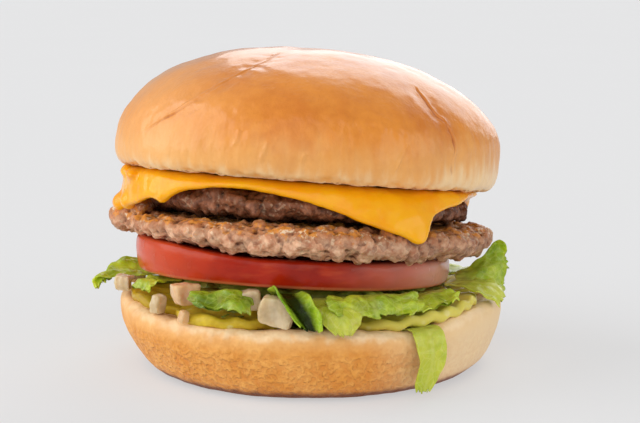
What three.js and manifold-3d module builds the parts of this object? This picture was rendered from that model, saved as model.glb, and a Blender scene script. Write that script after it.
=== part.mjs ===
// A double cheeseburger, built the way the real one is stacked: heel, pickle slices, diced onion and lettuce,
// a tomato slice, two beef patties, a melted cheese slice and the crown of the bun.
// Millimetres, +Z up, -Y is the front, origin at the centre of the heel's flat underside.
import * as THREE from "three";
import { mergeVertices } from "three/addons/utils/BufferGeometryUtils.js";
import Module from "manifold-3d";

const wasm = await Module();
wasm.setup();

// ---------- Driving dimensions ----------
const BUN_RADIUS = 55;
const HEEL_HEIGHT = 19.5;
const HEEL_FLOOR = 15.6; // the cut face, pressed in by the fillings
const CROWN_HEIGHT = 36.5;
const TOMATO_RADIUS = 45.5;
const TOMATO_THICKNESS = 7.7;
const LOWER_PATTY_RADIUS = 53;
const UPPER_PATTY_RADIUS = 47.5;
const CHEESE_SIDE = 89; // a standard square slice
const CHEESE_THICKNESS = 2.6;
const PICKLE_RADIUS = 17;
const PICKLE_THICKNESS = 3.2;
const LEAF_THICKNESS = 0.8;
const GAP = 0.35; // left between pieces that touch

// The stack leans open towards the front, and the crown leans a little further to the right.
const STACK_TILT = { x: -0.05, y: -0.095 };
const CROWN_TILT = { x: -0.078, y: -0.095 };
const leaning = (height, tilt) => (x, y) => height + tilt.x * x + tilt.y * y;

// The tomato is cut thicker at its left end. The patty on it is as much thinner there, but not past the tomato.
const leftRise = (x) => 2.6 * THREE.MathUtils.smoothstep(-x, 12, 48);
const pastTomato = (x) => THREE.MathUtils.smoothstep(-x, 51, 54.5);
const flatTomatoTop = leaning(24.9 + TOMATO_THICKNESS, STACK_TILT);
const TOMATO_BOTTOM = leaning(24.9, STACK_TILT);
const TOMATO_TOP = (x, y) => flatTomatoTop(x, y) + leftRise(x);
const LOWER_PATTY_BOTTOM = (x, y) => flatTomatoTop(x, y) + GAP + leftRise(x) * (1 - pastTomato(x));
const LOWER_PATTY_TOP = leaning(42.1, STACK_TILT);
const UPPER_PATTY_BOTTOM = leaning(42.1 + GAP, STACK_TILT);
const CROWN_BASE = leaning(53.4, CROWN_TILT);
const CHEESE_MIDDLE = leaning(53.4 - GAP - CHEESE_THICKNESS / 2, CROWN_TILT);
const UPPER_PATTY_TOP = leaning(53.4 - 2 * GAP - CHEESE_THICKNESS, CROWN_TILT);

// ---------- Small helpers ----------
const degrees = THREE.MathUtils.degToRad;
const smooth = THREE.MathUtils.smoothstep;
const lerp = THREE.MathUtils.lerp;

// A repeatable draw from 0 to 1.
function seededDraw(seed) {
  let state = seed;
  return () => {
    state = (state * 16807) % 2147483647;
    return state / 2147483647;
  };
}

// A bell of height 1 round an angle, in degrees.
function bell(angle, centre, width) {
  const turn = THREE.MathUtils.euclideanModulo(THREE.MathUtils.radToDeg(angle) - centre + 180, 360) - 180;
  return Math.exp(-((turn / width) ** 2));
}

// An uneven ripple round the outline, about -1 to 1.
const ripple = (angle, seed) =>
  0.45 * Math.sin(2 * angle + seed) + 0.35 * Math.sin(3 * angle + 2.1 * seed) + 0.3 * Math.sin(5 * angle + 3.7 * seed);

// Lumps of a given size in space, about -1 to 1.
function lumps(x, y, z, size, seed) {
  const wave = (a, b, c) => Math.sin((a * x + b * y + c * z) / size + seed * (a + 2 * b));
  return 0.4 * (wave(1.9, 0.7, 1.1) + wave(-0.8, 2.1, 0.9) + wave(1.3, -1.6, 2.2));
}

// The position-only form of a geometry with its shared points merged and collapsed triangles left out.
function welded(geometry) {
  const bare = new THREE.BufferGeometry().setAttribute("position", geometry.getAttribute("position"));
  bare.setIndex(geometry.index);
  const merged = mergeVertices(bare, 1e-4);
  const kept = [];
  const index = merged.index.array;
  for (let i = 0; i < index.length; i += 3) {
    const [a, b, c] = [index[i], index[i + 1], index[i + 2]];
    if (a !== b && b !== c && c !== a) kept.push(a, b, c);
  }
  merged.setIndex(kept);
  return merged;
}

// Moves each point of a geometry to the place that a function gives.
function moved(geometry, place) {
  const position = geometry.getAttribute("position");
  for (let i = 0; i < position.count; i++) {
    const [x, y, z] = place(position.getX(i), position.getY(i), position.getZ(i));
    position.setXYZ(i, x, y, z);
  }
  return geometry;
}

function toSolid(geometry) {
  const merged = welded(geometry);
  return new wasm.Manifold(
    new wasm.Mesh({
      numProp: 3,
      vertProperties: new Float32Array(merged.getAttribute("position").array),
      triVerts: new Uint32Array(merged.index.array),
    }),
  );
}

function toGeometry(solid) {
  const mesh = solid.getMesh();
  const geometry = new THREE.BufferGeometry();
  geometry.setAttribute("position", new THREE.BufferAttribute(new Float32Array(mesh.vertProperties), 3));
  geometry.setIndex(new THREE.BufferAttribute(new Uint32Array(mesh.triVerts), 1));
  return geometry;
}

// The largest body that is left of a solid once others are cut away from it.
function cutBy(solid, others) {
  let rest = solid;
  for (const other of others) rest = rest.subtract(other);
  return rest.decompose().sort((a, b) => b.volume() - a.volume())[0];
}

// A lathe about +Z from [radius, height] points that run from the bottom of the axis, round the outside, to its top.
function turned(profile, segments) {
  const points = profile.map(([radius, height]) => new THREE.Vector2(radius, height));
  return welded(new THREE.LatheGeometry(points, segments).rotateX(Math.PI / 2));
}

// A round slab between two surfaces. Its profile is [share of the radius, share of the thickness].
function slab({ profile, segments, centre, outline, bottom, top }) {
  return moved(turned(profile, segments), (x, y, share) => {
    const angle = Math.atan2(y, x);
    const radius = Math.hypot(x, y) * outline(angle, share);
    const place = [centre[0] + radius * Math.cos(angle), centre[1] + radius * Math.sin(angle)];
    return [...place, lerp(bottom(...place), top(...place), share)];
  });
}

// A thin closed sheet: the middle surface is point(u, v) with u and v from 0 to 1, and both faces share one split.
function sheet(stepsAlong, stepsAcross, thickness, point) {
  const grid = new THREE.PlaneGeometry(1, 1, stepsAlong, stepsAcross);
  const spots = grid.getAttribute("position");
  const count = spots.count;
  const faces = [];
  const step = 1e-3;
  for (let i = 0; i < count; i++) {
    const [u, v] = [spots.getX(i) + 0.5, spots.getY(i) + 0.5];
    const middle = point(u, v);
    const along = point(u + step, v).sub(point(u - step, v));
    const across = point(u, v + step).sub(point(u, v - step));
    const lift = along.cross(across).normalize().multiplyScalar(thickness / 2);
    faces.push([middle.clone().add(lift), middle.clone().sub(lift)]);
  }
  const positions = [...faces.map((pair) => pair[0]), ...faces.map((pair) => pair[1])].flatMap((p) => p.toArray());
  const index = [...grid.index.array];
  const under = [];
  for (let i = 0; i < index.length; i += 3) under.push(index[i] + count, index[i + 2] + count, index[i + 1] + count);
  const rim = [];
  const row = stepsAlong + 1;
  for (let i = 0; i < stepsAlong; i++) rim.push(i);
  for (let j = 0; j < stepsAcross; j++) rim.push(j * row + stepsAlong);
  for (let i = stepsAlong; i > 0; i--) rim.push(stepsAcross * row + i);
  for (let j = stepsAcross; j > 0; j--) rim.push(j * row);
  const walls = rim.flatMap((a, i) => {
    const b = rim[(i + 1) % rim.length];
    return [a, b, a + count, b, b + count, a + count];
  });
  const closed = new THREE.BufferGeometry();
  closed.setAttribute("position", new THREE.Float32BufferAttribute(positions, 3));
  closed.setIndex([...index, ...under, ...walls]);
  return closed;
}

// ---------- Bun ----------
// The heel's rim stands highest at the left and the front right. It is pressed low between them and at the back.
const heelRimLift = (angle) =>
  1.5 * bell(angle, 187, 16) - 0.7 * bell(angle, 240, 30) - 2 * bell(angle, 300, 15) + 0.9 * bell(angle, 330, 14) - 1.2 * bell(angle, 80, 60);
const heelRim = (x, y) => HEEL_HEIGHT + heelRimLift(Math.atan2(y, x));

function heelBun() {
  const profile = [
    [0, 0], [22, 0], [44, 0], [48, 1.1], [51, 3.8], [53, 8.5], [54.5, 13.5], [BUN_RADIUS, 16.5],
    [54.3, 18.6], [52.2, HEEL_HEIGHT], [49, 18.4], [44.5, 16.6], [38, HEEL_FLOOR], [20, HEEL_FLOOR], [0, HEEL_FLOOR],
  ];
  return moved(turned(profile, 44), (x, y, z) => {
    const angle = Math.atan2(y, x);
    const tuck = 0.03 * bell(angle, 195, 45) * (1 - smooth(z, 1, 14)); // the left side is rounder underneath
    const swell = 1 + 0.008 * ripple(angle, 1.3) * smooth(z, 2, 12) - tuck;
    const rim = smooth(z, HEEL_FLOOR * 0.5, 18.6) * smooth(Math.hypot(x, y), 38, 50);
    return [x * swell, y * swell, z + heelRimLift(angle) * rim];
  });
}

// The dome is a superellipse on a short undercut; it leans with its base.
function crownBun() {
  const beltHeight = 7;
  const domeSteps = 12;
  const profile = [[0, 0], [27, 0], [45, 0], [50.4, 0.2], [52.5, 1.4], [54.1, 4]];
  for (let i = 0; i <= domeSteps; i++) {
    const turn = (i / domeSteps) * (Math.PI / 2);
    const radius = (BUN_RADIUS - 0.4) * Math.cos(turn) ** 0.92;
    profile.push([i === domeSteps ? 0 : radius, beltHeight + (CROWN_HEIGHT - beltHeight) * Math.sin(turn) ** 0.95]);
  }
  const baseCentre = [-1.4, 0];
  return moved(turned(profile, 44), (x, y, height) => {
    const angle = Math.atan2(y, x);
    const swell = 1 + 0.007 * ripple(angle, 4.1);
    const place = [baseCentre[0] + x * swell - CROWN_TILT.x * height, baseCentre[1] + y * swell - CROWN_TILT.y * height];
    const footing = CROWN_BASE(baseCentre[0] + x * swell, baseCentre[1] + y * swell);
    const dent = 0.012 * ripple(angle, 2.2) * smooth(height, 0, 20) * smooth(Math.hypot(x, y), 0, 30);
    return [...place, footing + height * (1 + dent)];
  });
}

// ---------- Tomato and patties ----------
function tomatoSlice() {
  const profile = [[0, 0], [0.93, 0], [0.98, 0.16], [1, 0.6], [0.985, 0.93], [0.95, 1], [0.6, 1], [0, 1]];
  return slab({
    profile,
    segments: 40,
    centre: [-5, -3],
    outline: (angle) => TOMATO_RADIUS * (1 + 0.012 * ripple(angle, 5.2)),
    bottom: TOMATO_BOTTOM,
    top: TOMATO_TOP,
  });
}

// Ground beef: a ragged outline, with crags that bite into the rim, cracks that split it and ends that curl up.
function patty({ centre, radius, bottom, top, seed, lobes, cracks, curls = [] }) {
  const profile = [
    [0, 0], [0.5, 0], [0.82, 0], [0.91, 0.06], [0.975, 0.22], [1, 0.48], [0.985, 0.72], [0.94, 0.9], [0.86, 1], [0.5, 1], [0, 1],
  ];
  const outline = (angle, share) => {
    const lobe = lobes.reduce((sum, [at, width, reach]) => sum + reach * bell(angle, at, width), 0);
    const crack = cracks.reduce((sum, [at, depth]) => sum + depth * bell(angle, at, 3.2), 0);
    const crag = 1.1 * lumps(radius * Math.cos(angle), radius * Math.sin(angle), 14 * share, 4.6, seed);
    return radius + 0.9 * ripple(angle, seed) + lobe - crack + crag;
  };
  const flat = slab({ profile, segments: 60, centre, outline, bottom, top });
  return moved(flat, (x, y, z) => {
    const angle = Math.atan2(y - centre[1], x - centre[0]);
    const rim = smooth(Math.hypot(x, y), radius - 6, radius + 3);
    const underside = 1 - smooth(z, bottom(x, y), top(x, y));
    return [x, y, z + rim * curls.reduce((sum, [at, width, up, thin]) => sum + (up + thin * underside) * bell(angle, at, width), 0)];
  });
}

const lowerPatty = () =>
  patty({
    centre: [-1.5, -1],
    radius: LOWER_PATTY_RADIUS,
    bottom: LOWER_PATTY_BOTTOM,
    top: LOWER_PATTY_TOP,
    seed: 2.4,
    lobes: [[172, 14, 3.6], [352, 16, 1.2], [318, 14, -1.6]],
    cracks: [[197, 4], [305, 1.5], [255, 1.2], [60, 3], [120, 2.5]],
    curls: [[183, 16, 2.6, -2.6], [352, 20, 1, 2.4]],
  });

const upperPatty = () =>
  patty({
    centre: [0.5, 0],
    radius: UPPER_PATTY_RADIUS,
    bottom: UPPER_PATTY_BOTTOM,
    top: UPPER_PATTY_TOP,
    seed: 5.9,
    lobes: [[232, 16, 1.6], [300, 18, 1], [188, 14, 1.8], [2, 32, -3.6]],
    cracks: [[238, 2.2], [80, 3], [150, 2.6]],
  });

// ---------- Cheese ----------
// A square slice that lies flat on the upper patty and melts down over its rim, furthest at the corners.
const CHEESE_CENTRE = [0.3, -0.8];
const CHEESE_TURN = degrees(-17);
const CHEESE_BEND = 9; // radius of the fold over the patty's rim
const CHEESE_DROOP = degrees(46);

function cheeseSlice() {
  const corner = 0.96; // how far a melted corner is pulled in
  return sheet(18, 18, CHEESE_THICKNESS, (u, v) => {
    const [a, b] = [2 * u - 1, 2 * v - 1];
    const round = 1 - (1 - corner) * (Math.abs(a) * Math.abs(b)) ** 2;
    const flat = new THREE.Vector2(a, b).multiplyScalar((CHEESE_SIDE / 2) * round);
    flat.rotateAround(new THREE.Vector2(), CHEESE_TURN);
    const run = 1 + 0.07 * bell(flat.angle(), 205, 17) - 0.08 * bell(flat.angle(), 28, 20); // the warm corner runs further
    flat.multiplyScalar(run);
    const [x, y] = [flat.x + CHEESE_CENTRE[0], flat.y + CHEESE_CENTRE[1]];
    const angle = Math.atan2(y, x);
    const reach = Math.hypot(x, y);
    const fold = UPPER_PATTY_RADIUS - 1.4 - 0.5 * ripple(angle, 3.3) - 3.2 * bell(angle, 294, 22) + 4 * bell(angle, 28, 22);
    const over = Math.max(0, reach - fold);
    const droop = Math.min(over / CHEESE_BEND, CHEESE_DROOP);
    const hang = Math.max(0, over - CHEESE_BEND * CHEESE_DROOP);
    const out = Math.min(reach, fold) + CHEESE_BEND * Math.sin(droop) + hang * Math.cos(CHEESE_DROOP);
    const down = CHEESE_BEND * (1 - Math.cos(droop)) + hang * Math.sin(CHEESE_DROOP);
    const place = [out * Math.cos(angle), out * Math.sin(angle)];
    return new THREE.Vector3(...place, CHEESE_MIDDLE(...place) - down);
  });
}

// ---------- Pickles ----------
// A crinkle-cut slice: a wavy extrusion cut to a disc, then laid with its outer edge up on the heel's rim.
const CRINKLE_PITCH = 6.4;
const CRINKLE_DEPTH = 0.55;

// A slice sags until its outer part lies on the heel's rim, and is bent up where the rim stands higher.
// It leaves room for the strip of leaf that hangs out from under it.
function sag(x, y, underside) {
  const angle = Math.atan2(y, x);
  const room = CRINKLE_DEPTH + 0.35 + 1.2 * bell(angle, 304, 10);
  const most = 1.6 * bell(angle, 325, 20);
  return THREE.MathUtils.clamp(heelRim(x, y) + room - underside, -2.4, most) * smooth(Math.hypot(x, y), 38, 50);
}

function pickleSlice({ at, radius, length = radius, height, lean, turn, thickness = PICKLE_THICKNESS }) {
  const stepsAcross = 4 * Math.ceil((2 * length) / CRINKLE_PITCH);
  const span = (stepsAcross / 4) * CRINKLE_PITCH;
  const wavy = (side) =>
    Array.from({ length: stepsAcross + 1 }, (_, i) => {
      const x = (i / stepsAcross - 0.5) * span;
      return new THREE.Vector2(x, CRINKLE_DEPTH * Math.sin((2 * Math.PI * x) / CRINKLE_PITCH) + side);
    });
  const half = thickness / 2;
  const outline = new THREE.Shape([...wavy(-half), ...wavy(half).reverse()]);
  const bar = new THREE.ExtrudeGeometry(outline, { depth: span, bevelEnabled: false }).translate(0, 0, -span / 2);
  const disc = new THREE.CylinderGeometry(radius, radius - 0.6, 4 * PICKLE_THICKNESS, 26).scale(length / radius, 1, 1);
  const cut = toGeometry(toSolid(bar).intersect(toSolid(disc))).rotateX(Math.PI / 2).rotateZ(degrees(turn));
  return moved(cut, (x, y, z) => {
    const underside = height + lean[0] * x + lean[1] * y;
    return [at[0] + x, at[1] + y, underside + half + z + sag(at[0] + x, at[1] + y, underside)];
  });
}

// The plain disc of room that a slice takes up.
function pickleRoom({ at, radius, length = radius, height, lean, turn, thickness = PICKLE_THICKNESS }) {
  const reach = radius + GAP + 0.3;
  const half = thickness / 2 + CRINKLE_DEPTH + GAP + 0.1;
  const disc = turned([[0, -half - 1], [0.8, -half - 1], [1, -half - 0.4], [1, half], [0.6, half], [0, half]], 14);
  disc.scale(length + GAP + 0.3, reach, 1).rotateZ(degrees(turn));
  return toSolid(
    moved(disc, (x, y, z) => {
      const underside = height + lean[0] * x + lean[1] * y;
      return [at[0] + x, at[1] + y, underside + thickness / 2 + z + sag(at[0] + x, at[1] + y, underside)];
    }),
  );
}

const PICKLES = [
  { at: [-19.6, -31.4], radius: PICKLE_RADIUS, height: 19.3, lean: [-0.07, -0.1], turn: 20 },
  { at: [-34.8, -12.7], radius: 16, height: 19.9, lean: [-0.11, -0.04], turn: 75 },
  { at: [25.2, -27], radius: PICKLE_RADIUS, length: 24, height: 19.4, lean: [0.04, 0], turn: 43 },
  { at: [34, 3], radius: 15.5, height: 18.1, lean: [0.1, 0], turn: -60 },
  { at: [12, 25.5], radius: 15.2, height: 17, lean: [0, 0], turn: 10, thickness: 2.2 },
  { at: [-24.5, 16.5], radius: 15.2, height: 17.2, lean: [-0.05, 0], turn: 40, thickness: 2.6 },
];

// ---------- Onion dice ----------
function onionDie({ at, size, turn, taper = 0 }, grow = 0) {
  const block = new THREE.BoxGeometry(...size.map((s) => s + 2 * grow), 2, 2, 2);
  const pinch = (value, half) => 1 - 0.12 * Math.abs(value / half) ** 2;
  moved(block, (x, y, z) => {
    const [hx, hy, hz] = size.map((s) => s / 2 + grow);
    const bow = 0.1 * size[0] * (1 - (x / hx) ** 2); // layers of an onion curve a little
    return [x * pinch(y, hy) * pinch(z, hz) * (1 + taper * (z / hz)), y * pinch(z, hz) + bow * 0.6, z * pinch(x, hx)];
  });
  block.rotateX(degrees(turn[0])).rotateY(degrees(turn[1])).rotateZ(degrees(turn[2])).translate(...at);
  return toSolid(block);
}

const ONIONS = [
  { at: [-8.6, -51.2, 24.6], size: [10, 5, 7.6], turn: [4, 15, -6] },
  { at: [-15.6, -46, 26.3], size: [5.8, 4.6, 6.2], turn: [0, -4, 10] },
  { at: [-33.2, -40, 26.9], size: [7.4, 4.6, 6], turn: [0, 4, 32], taper: 0.28 },
  { at: [-33.3, -43.4, 21.6], size: [3, 3, 3.6], turn: [8, 10, 38] },
  { at: [-52.3, -13, 24.9], size: [6, 4.8, 4.6], turn: [0, 4, 70] },
  { at: [-52, 8, 22.6], size: [6, 6, 3.6], turn: [0, 8, 15] },
  { at: [49, 17, 20.8], size: [6.4, 6, 3.2], turn: [-4, 8, 30] },
  { at: [36.5, 35.5, 20.4], size: [6.4, 5.6, 2.8], turn: [6, 0, 55] },
  { at: [-3.5, 48.6, 20.2], size: [6.6, 5, 2.2], turn: [6, 0, 8] },
  { at: [-39, 32, 21.3], size: [6.6, 5.6, 3.2], turn: [0, 7, 35] },
  { at: [-41, -33, 22.7], size: [4.2, 3.4, 5.6], turn: [0, 8, 42] },
];

// ---------- Lettuce ----------
// A leaf follows a path outwards from under the tomato. It spreads across it, ruffles most along its sides,
// and cups towards one side.
function leaf({ path, across, widths, ruffle = 1, waves = 2, cup = 0, seed = 1, steps = [7, 4] }, grow = 0) {
  const curve = new THREE.CatmullRomCurve3(path.map((p) => new THREE.Vector3(...p)));
  const sides = across.map((p) => new THREE.Vector3(...p).normalize());
  const alongList = (list, t, mix) => {
    const at = THREE.MathUtils.clamp(t, 0, 1) * (list.length - 1);
    const from = Math.min(Math.floor(at), list.length - 2);
    return mix(list[from], list[from + 1], at - from);
  };
  return sheet(steps[0], steps[1], LEAF_THICKNESS + 2 * grow, (u, v) => {
    const t = THREE.MathUtils.clamp(u, 0, 1);
    const side = alongList(sides, t, (a, b, s) => a.clone().lerp(b, s).normalize());
    const width = alongList(widths, t, lerp) + 2 * grow;
    const shift = v - 0.5;
    const facing = curve.getTangent(t).cross(side).normalize();
    const wave = Math.sin(2 * Math.PI * waves * v + seed) * 0.6 + Math.sin(2 * Math.PI * (1.5 * t + 0.6 * v) + 2 * seed) * 0.5;
    const rise = ruffle * wave * smooth(t, 0.12, 0.6) - cup * 4 * shift * shift;
    return curve.getPoint(t).addScaledVector(side, shift * width).addScaledVector(facing, rise);
  });
}

const FRONT_LEAVES = {
  leaf_left: {
    path: [[-40, 0, 25.9], [-46.6, -0.5, 26.2], [-52.4, -1, 27], [-57, -2.5, 26.9], [-60, -5, 25.8], [-59, -8.5, 23.2]],
    across: [[0, 1, 0], [0, 1, 0.3], [0.3, 1, 0.35], [0.7, 0.7, 0.3]],
    widths: [7, 9, 11, 12, 10, 5],
    ruffle: 0.6,
    cup: 1,
    seed: 2,
  },
  leaf_right: {
    path: [[41, -10, 26], [45.5, -10, 26.6], [50, -8.5, 27.8], [54, -6.5, 29.2], [56.6, -5.5, 27.4]],
    across: [[0, 1, 0.1], [0, 1, 0.3], [0, 0.6, 0.9], [0, 0.3, 1], [0, 0.3, 1]],
    widths: [3, 4, 8.5, 13.5, 9],
    ruffle: 1.3,
    waves: 1.4,
    seed: 4,
  },
  leaf_hanging: {
    path: [[26.6, -40.2, 17.7], [29.2, -43.6, 18.7], [31, -46.5, 17.9], [32, -47.4, 14], [31.8, -47.1, 9.5], [30.6, -46.8, 5], [29.7, -47, 1.2]],
    across: [[0.88, 0.45, 0.05], [0.88, 0.45, 0], [0.9, 0.4, 0]],
    widths: [7, 8.5, 9.4, 8.8, 7.8, 6.8, 3.2],
    ruffle: 0.15,
    waves: 1,
    seed: 1,
    steps: [12, 3],
  },
  leaf_ruffle: {
    path: [[15, -38, 26], [15.6, -43.5, 27], [16.2, -48.5, 27.6], [16.9, -51.5, 25.9], [17.6, -52.3, 23.2]],
    across: [[1, 0.12, 0], [1, 0.2, 0]],
    widths: [20, 23, 25, 25, 20],
    ruffle: 0.75,
    waves: 3.5,
    seed: 0.5,
    steps: [5, 10],
  },
  leaf_tongue: {
    path: [[4.6, -40.5, 25.6], [5.6, -46, 26.8], [7.4, -52.3, 25.8], [8.6, -55.8, 22.4], [9.2, -56.8, 19]],
    across: [[1, 0, 0], [1, 0.15, 0]],
    widths: [7, 10, 12.5, 10, 3],
    ruffle: 0.3,
    waves: 1,
    cup: 0.8,
    seed: 3,
    steps: [7, 3],
  },
  leaf_curl: {
    path: [[-6, -42, 26.6], [-6.8, -48, 28.4], [-5.2, -52.4, 27.6], [-2.2, -55.8, 24], [0.4, -57.2, 20]],
    across: [[1, 0, 0.1], [1, 0.1, 0.2], [1, 0.1, -0.1]],
    widths: [6, 8, 9, 8, 4],
    ruffle: 0.3,
    waves: 1,
    cup: -3,
    seed: 5,
    steps: [8, 4],
  },
  leaf_small: {
    path: [[-24, -41.6, 27.6], [-23.6, -45.6, 28.8], [-23.2, -49.8, 27.6], [-22.4, -52.2, 24.8]],
    across: [[1, -0.2, 0.1], [1, -0.1, 0], [1, -0.2, -0.1]],
    widths: [10, 15, 18, 12],
    ruffle: 1.1,
    waves: 1.6,
    cup: 1.4,
    seed: 1.5,
    steps: [5, 6],
  },
  leaf_left_fold: {
    path: [[-37, -21, 27.6], [-41.6, -24, 28.1], [-45.2, -26.6, 27.6], [-46.8, -28, 25.6]],
    across: [[0.5, -0.85, 0], [0.5, -0.85, 0.1]],
    widths: [6, 9, 11, 8],
    ruffle: 0.7,
    waves: 1,
    seed: 6,
    steps: [6, 4],
  },
  leaf_right_pale: {
    path: [[38.5, -14, 25.1], [43, -16, 25.5], [47.5, -17.5, 25.4], [51.6, -18.5, 23.9], [54.2, -19, 20.9]],
    across: [[0.3, 1, 0], [0.3, 1, 0.1], [0.3, 1, 0.35]],
    widths: [7, 10, 13, 12, 8],
    ruffle: 0.5,
    waves: 1.5,
    cup: 0.6,
    seed: 2.6,
  },
  leaf_right_inner: {
    path: [[29, -29, 24.7], [31, -33.5, 25.5], [33, -38, 25.2], [34.4, -41.2, 23.6]],
    across: [[0.9, 0.4, 0.08], [0.85, 0.5, 0.08]],
    widths: [12, 15, 16, 13],
    ruffle: 0.6,
    waves: 2.2,
    seed: 0.9,
    steps: [5, 7],
  },
};

// Round the sides and back the leaves repeat, each with its own draw of size and ruffle.
const BACK_LEAF_ANGLES = [12, 38, 64, 91, 117, 146, 166];

function backLeaf(angle, draw) {
  const [c, s] = [Math.cos(degrees(angle)), Math.sin(degrees(angle))];
  const reach = lerp(57, 59.5, draw());
  const drop = lerp(1.5, 5, draw());
  const at = (radius, lift) => {
    const [x, y] = [radius * c, radius * s];
    return [x, y, lift + Math.max(TOMATO_BOTTOM(x, y) - 1.1, heelRim(x, y) + 1.2)];
  };
  const tip = at(reach, -drop);
  return {
    path: [at(40, -0.4), at(46, 0.2), at(52, 1), at(reach - 1, 0.4), tip],
    across: [[-s, c, 0], [-s, c, 0.1]],
    widths: [9, lerp(11, 15, draw()), lerp(13, 19, draw()), lerp(12, 17, draw()), 7],
    ruffle: 0.55,
    waves: 2.5,
    seed: angle,
    steps: [5, 5],
  };
}

// The shredded bed fills the room between the pickles and the tomato.
function lettuceBed(clearances) {
  const profile = [[0, 0], [0.95, 0], [1, 0.3], [1, 0.8], [0.93, 1], [0, 1]];
  const core = slab({
    profile,
    segments: 26,
    centre: [-1, -1],
    outline: (angle) => 35.5 + 1.5 * ripple(angle, 7.7) + Math.sin(11 * angle),
    bottom: () => HEEL_FLOOR + GAP + 0.3,
    top: (x, y) => TOMATO_BOTTOM(x, y) - GAP,
  });
  return cutBy(toSolid(core), clearances);
}

// ---------- The stack ----------
const burger = new THREE.Group();

function add(name, geometry, color, roughness) {
  const shown = geometry.index ? geometry.toNonIndexed() : geometry;
  shown.computeVertexNormals();
  const mesh = new THREE.Mesh(shown, new THREE.MeshStandardMaterial({ color, roughness, metalness: 0 }));
  mesh.name = name;
  burger.add(mesh);
}

add("heel_bun", heelBun(), 0xe0a35c, 0.6);

const pickleBlocks = [];
PICKLES.forEach((pickle, i) => {
  const cut = cutBy(toSolid(pickleSlice(pickle)), pickleBlocks);
  pickleBlocks.push(pickleRoom(pickle));
  add(`pickle_slice_${i + 1}`, toGeometry(cut), 0xb5a23a, 0.3);
});

const onionBlocks = [];
ONIONS.forEach((onion, i) => {
  const cut = cutBy(onionDie(onion), pickleBlocks);
  onionBlocks.push(onionDie(onion, GAP));
  add(`onion_die_${i + 1}`, toGeometry(cut), 0xd9cdb4, 0.3);
});

const draw = seededDraw(41);
const leaves = { ...FRONT_LEAVES };
BACK_LEAF_ANGLES.forEach((angle, i) => {
  leaves[`leaf_back_${i + 1}`] = backLeaf(angle, draw);
});

const roof = [tomatoSlice(), lowerPatty()].map((piece) => toSolid(piece.scale(1.01, 1.01, 1)).translate([0, 0, -GAP]));
const leafBlocks = [];
for (const [name, form] of Object.entries(leaves)) {
  const cut = cutBy(toSolid(leaf(form)), [...roof, ...pickleBlocks, ...onionBlocks, ...leafBlocks]);
  leafBlocks.push(toSolid(leaf(form, GAP + 0.1)));
  add(name, toGeometry(cut), 0x8fb53a, 0.45);
}

add("lettuce_bed", toGeometry(lettuceBed(pickleBlocks)), 0x7fa832, 0.5);
add("tomato_slice", tomatoSlice(), 0xb23a24, 0.3);
add("lower_patty", lowerPatty(), 0x94664c, 0.75);
add("upper_patty", upperPatty(), 0x5e4236, 0.8);
add("cheese_slice", cheeseSlice(), 0xf5a81c, 0.35);
add("crown_bun", crownBun(), 0xe09b4f, 0.4);

export default burger;
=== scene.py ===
# %% [markdown]
# # A double cheeseburger, one layer at a time
#
# A burger is a stack of soft, uneven food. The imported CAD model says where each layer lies. This lesson
# gives each one its real surface: baked crust, ground beef, melted cheese, wet tomato, crinkled pickle,
# diced onion and curled lettuce. Sizes here are millimetres, and Blender works in metres.

import math

import bpy
import numpy as np
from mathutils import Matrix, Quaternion, Vector, noise


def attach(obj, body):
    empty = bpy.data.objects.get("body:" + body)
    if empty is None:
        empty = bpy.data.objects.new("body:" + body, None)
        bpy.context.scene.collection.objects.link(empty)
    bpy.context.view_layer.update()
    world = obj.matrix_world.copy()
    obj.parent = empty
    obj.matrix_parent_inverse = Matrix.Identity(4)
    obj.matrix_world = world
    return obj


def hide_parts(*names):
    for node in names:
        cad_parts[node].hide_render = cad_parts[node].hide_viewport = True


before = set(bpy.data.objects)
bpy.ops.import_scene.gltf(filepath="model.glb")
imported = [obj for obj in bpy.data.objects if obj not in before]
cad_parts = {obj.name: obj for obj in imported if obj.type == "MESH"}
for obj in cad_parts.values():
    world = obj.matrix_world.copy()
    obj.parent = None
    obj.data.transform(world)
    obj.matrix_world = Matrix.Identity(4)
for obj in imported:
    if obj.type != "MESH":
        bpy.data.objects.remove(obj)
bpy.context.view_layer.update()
MM = 0.001
print("nodes in the frame:", len(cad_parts))

# %% [markdown]
# ## Camera
#
# Food is pictured from just above the table with a long lens, so the layers show their sides and the bun
# isn't stretched. The camera comes first, because every finish is judged through it.

# %% Place the camera
CAMERA_PLACE = Vector((0.0026, -0.433, 0.107))
CAMERA_AIM = Vector((0.0026, 0, 0.04324))


def facing(place, aim):
    """The turn that points a camera or a lamp from one place at another."""
    return (aim - place).to_track_quat("-Z", "Y").to_euler()


bpy.ops.object.camera_add(location=CAMERA_PLACE, rotation=facing(CAMERA_PLACE, CAMERA_AIM))
camera = bpy.context.object
camera.data.lens = 85
camera.data.sensor_width = 36
bpy.context.scene.camera = camera
print("camera distance in mm:", round((CAMERA_AIM - CAMERA_PLACE).length / MM))

# %% [markdown]
# ## Helpers for shaping
#
# An operator acts on all that is selected, so a piece is first made the only selected one. Modifiers are
# applied at once, because later steps need the real vertices. A lean or a fold is easiest to say as a
# formula, so the vertices are read as one array in mm, moved, and written back.

# %% Add, select and modify
def mode(name):
    """Goes to object or edit mode."""
    bpy.ops.object.mode_set(mode=name)


def only(piece):
    """Leaves one piece selected and active."""
    bpy.ops.object.select_all(action="DESELECT")
    piece.select_set(True)
    bpy.context.view_layer.objects.active = piece


def linked(name, mesh):
    """A new object with that mesh, in the scene."""
    piece = bpy.data.objects.new(name, mesh)
    bpy.context.scene.collection.objects.link(piece)
    return piece


def added(name, primitive, **settings):
    """A new primitive, the only one selected, with its place and size in its mesh."""
    bpy.ops.object.select_all(action="DESELECT")
    primitive(**settings)
    bpy.ops.object.transform_apply(location=True, rotation=True, scale=True)
    bpy.context.object.name = name
    return bpy.context.object


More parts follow.
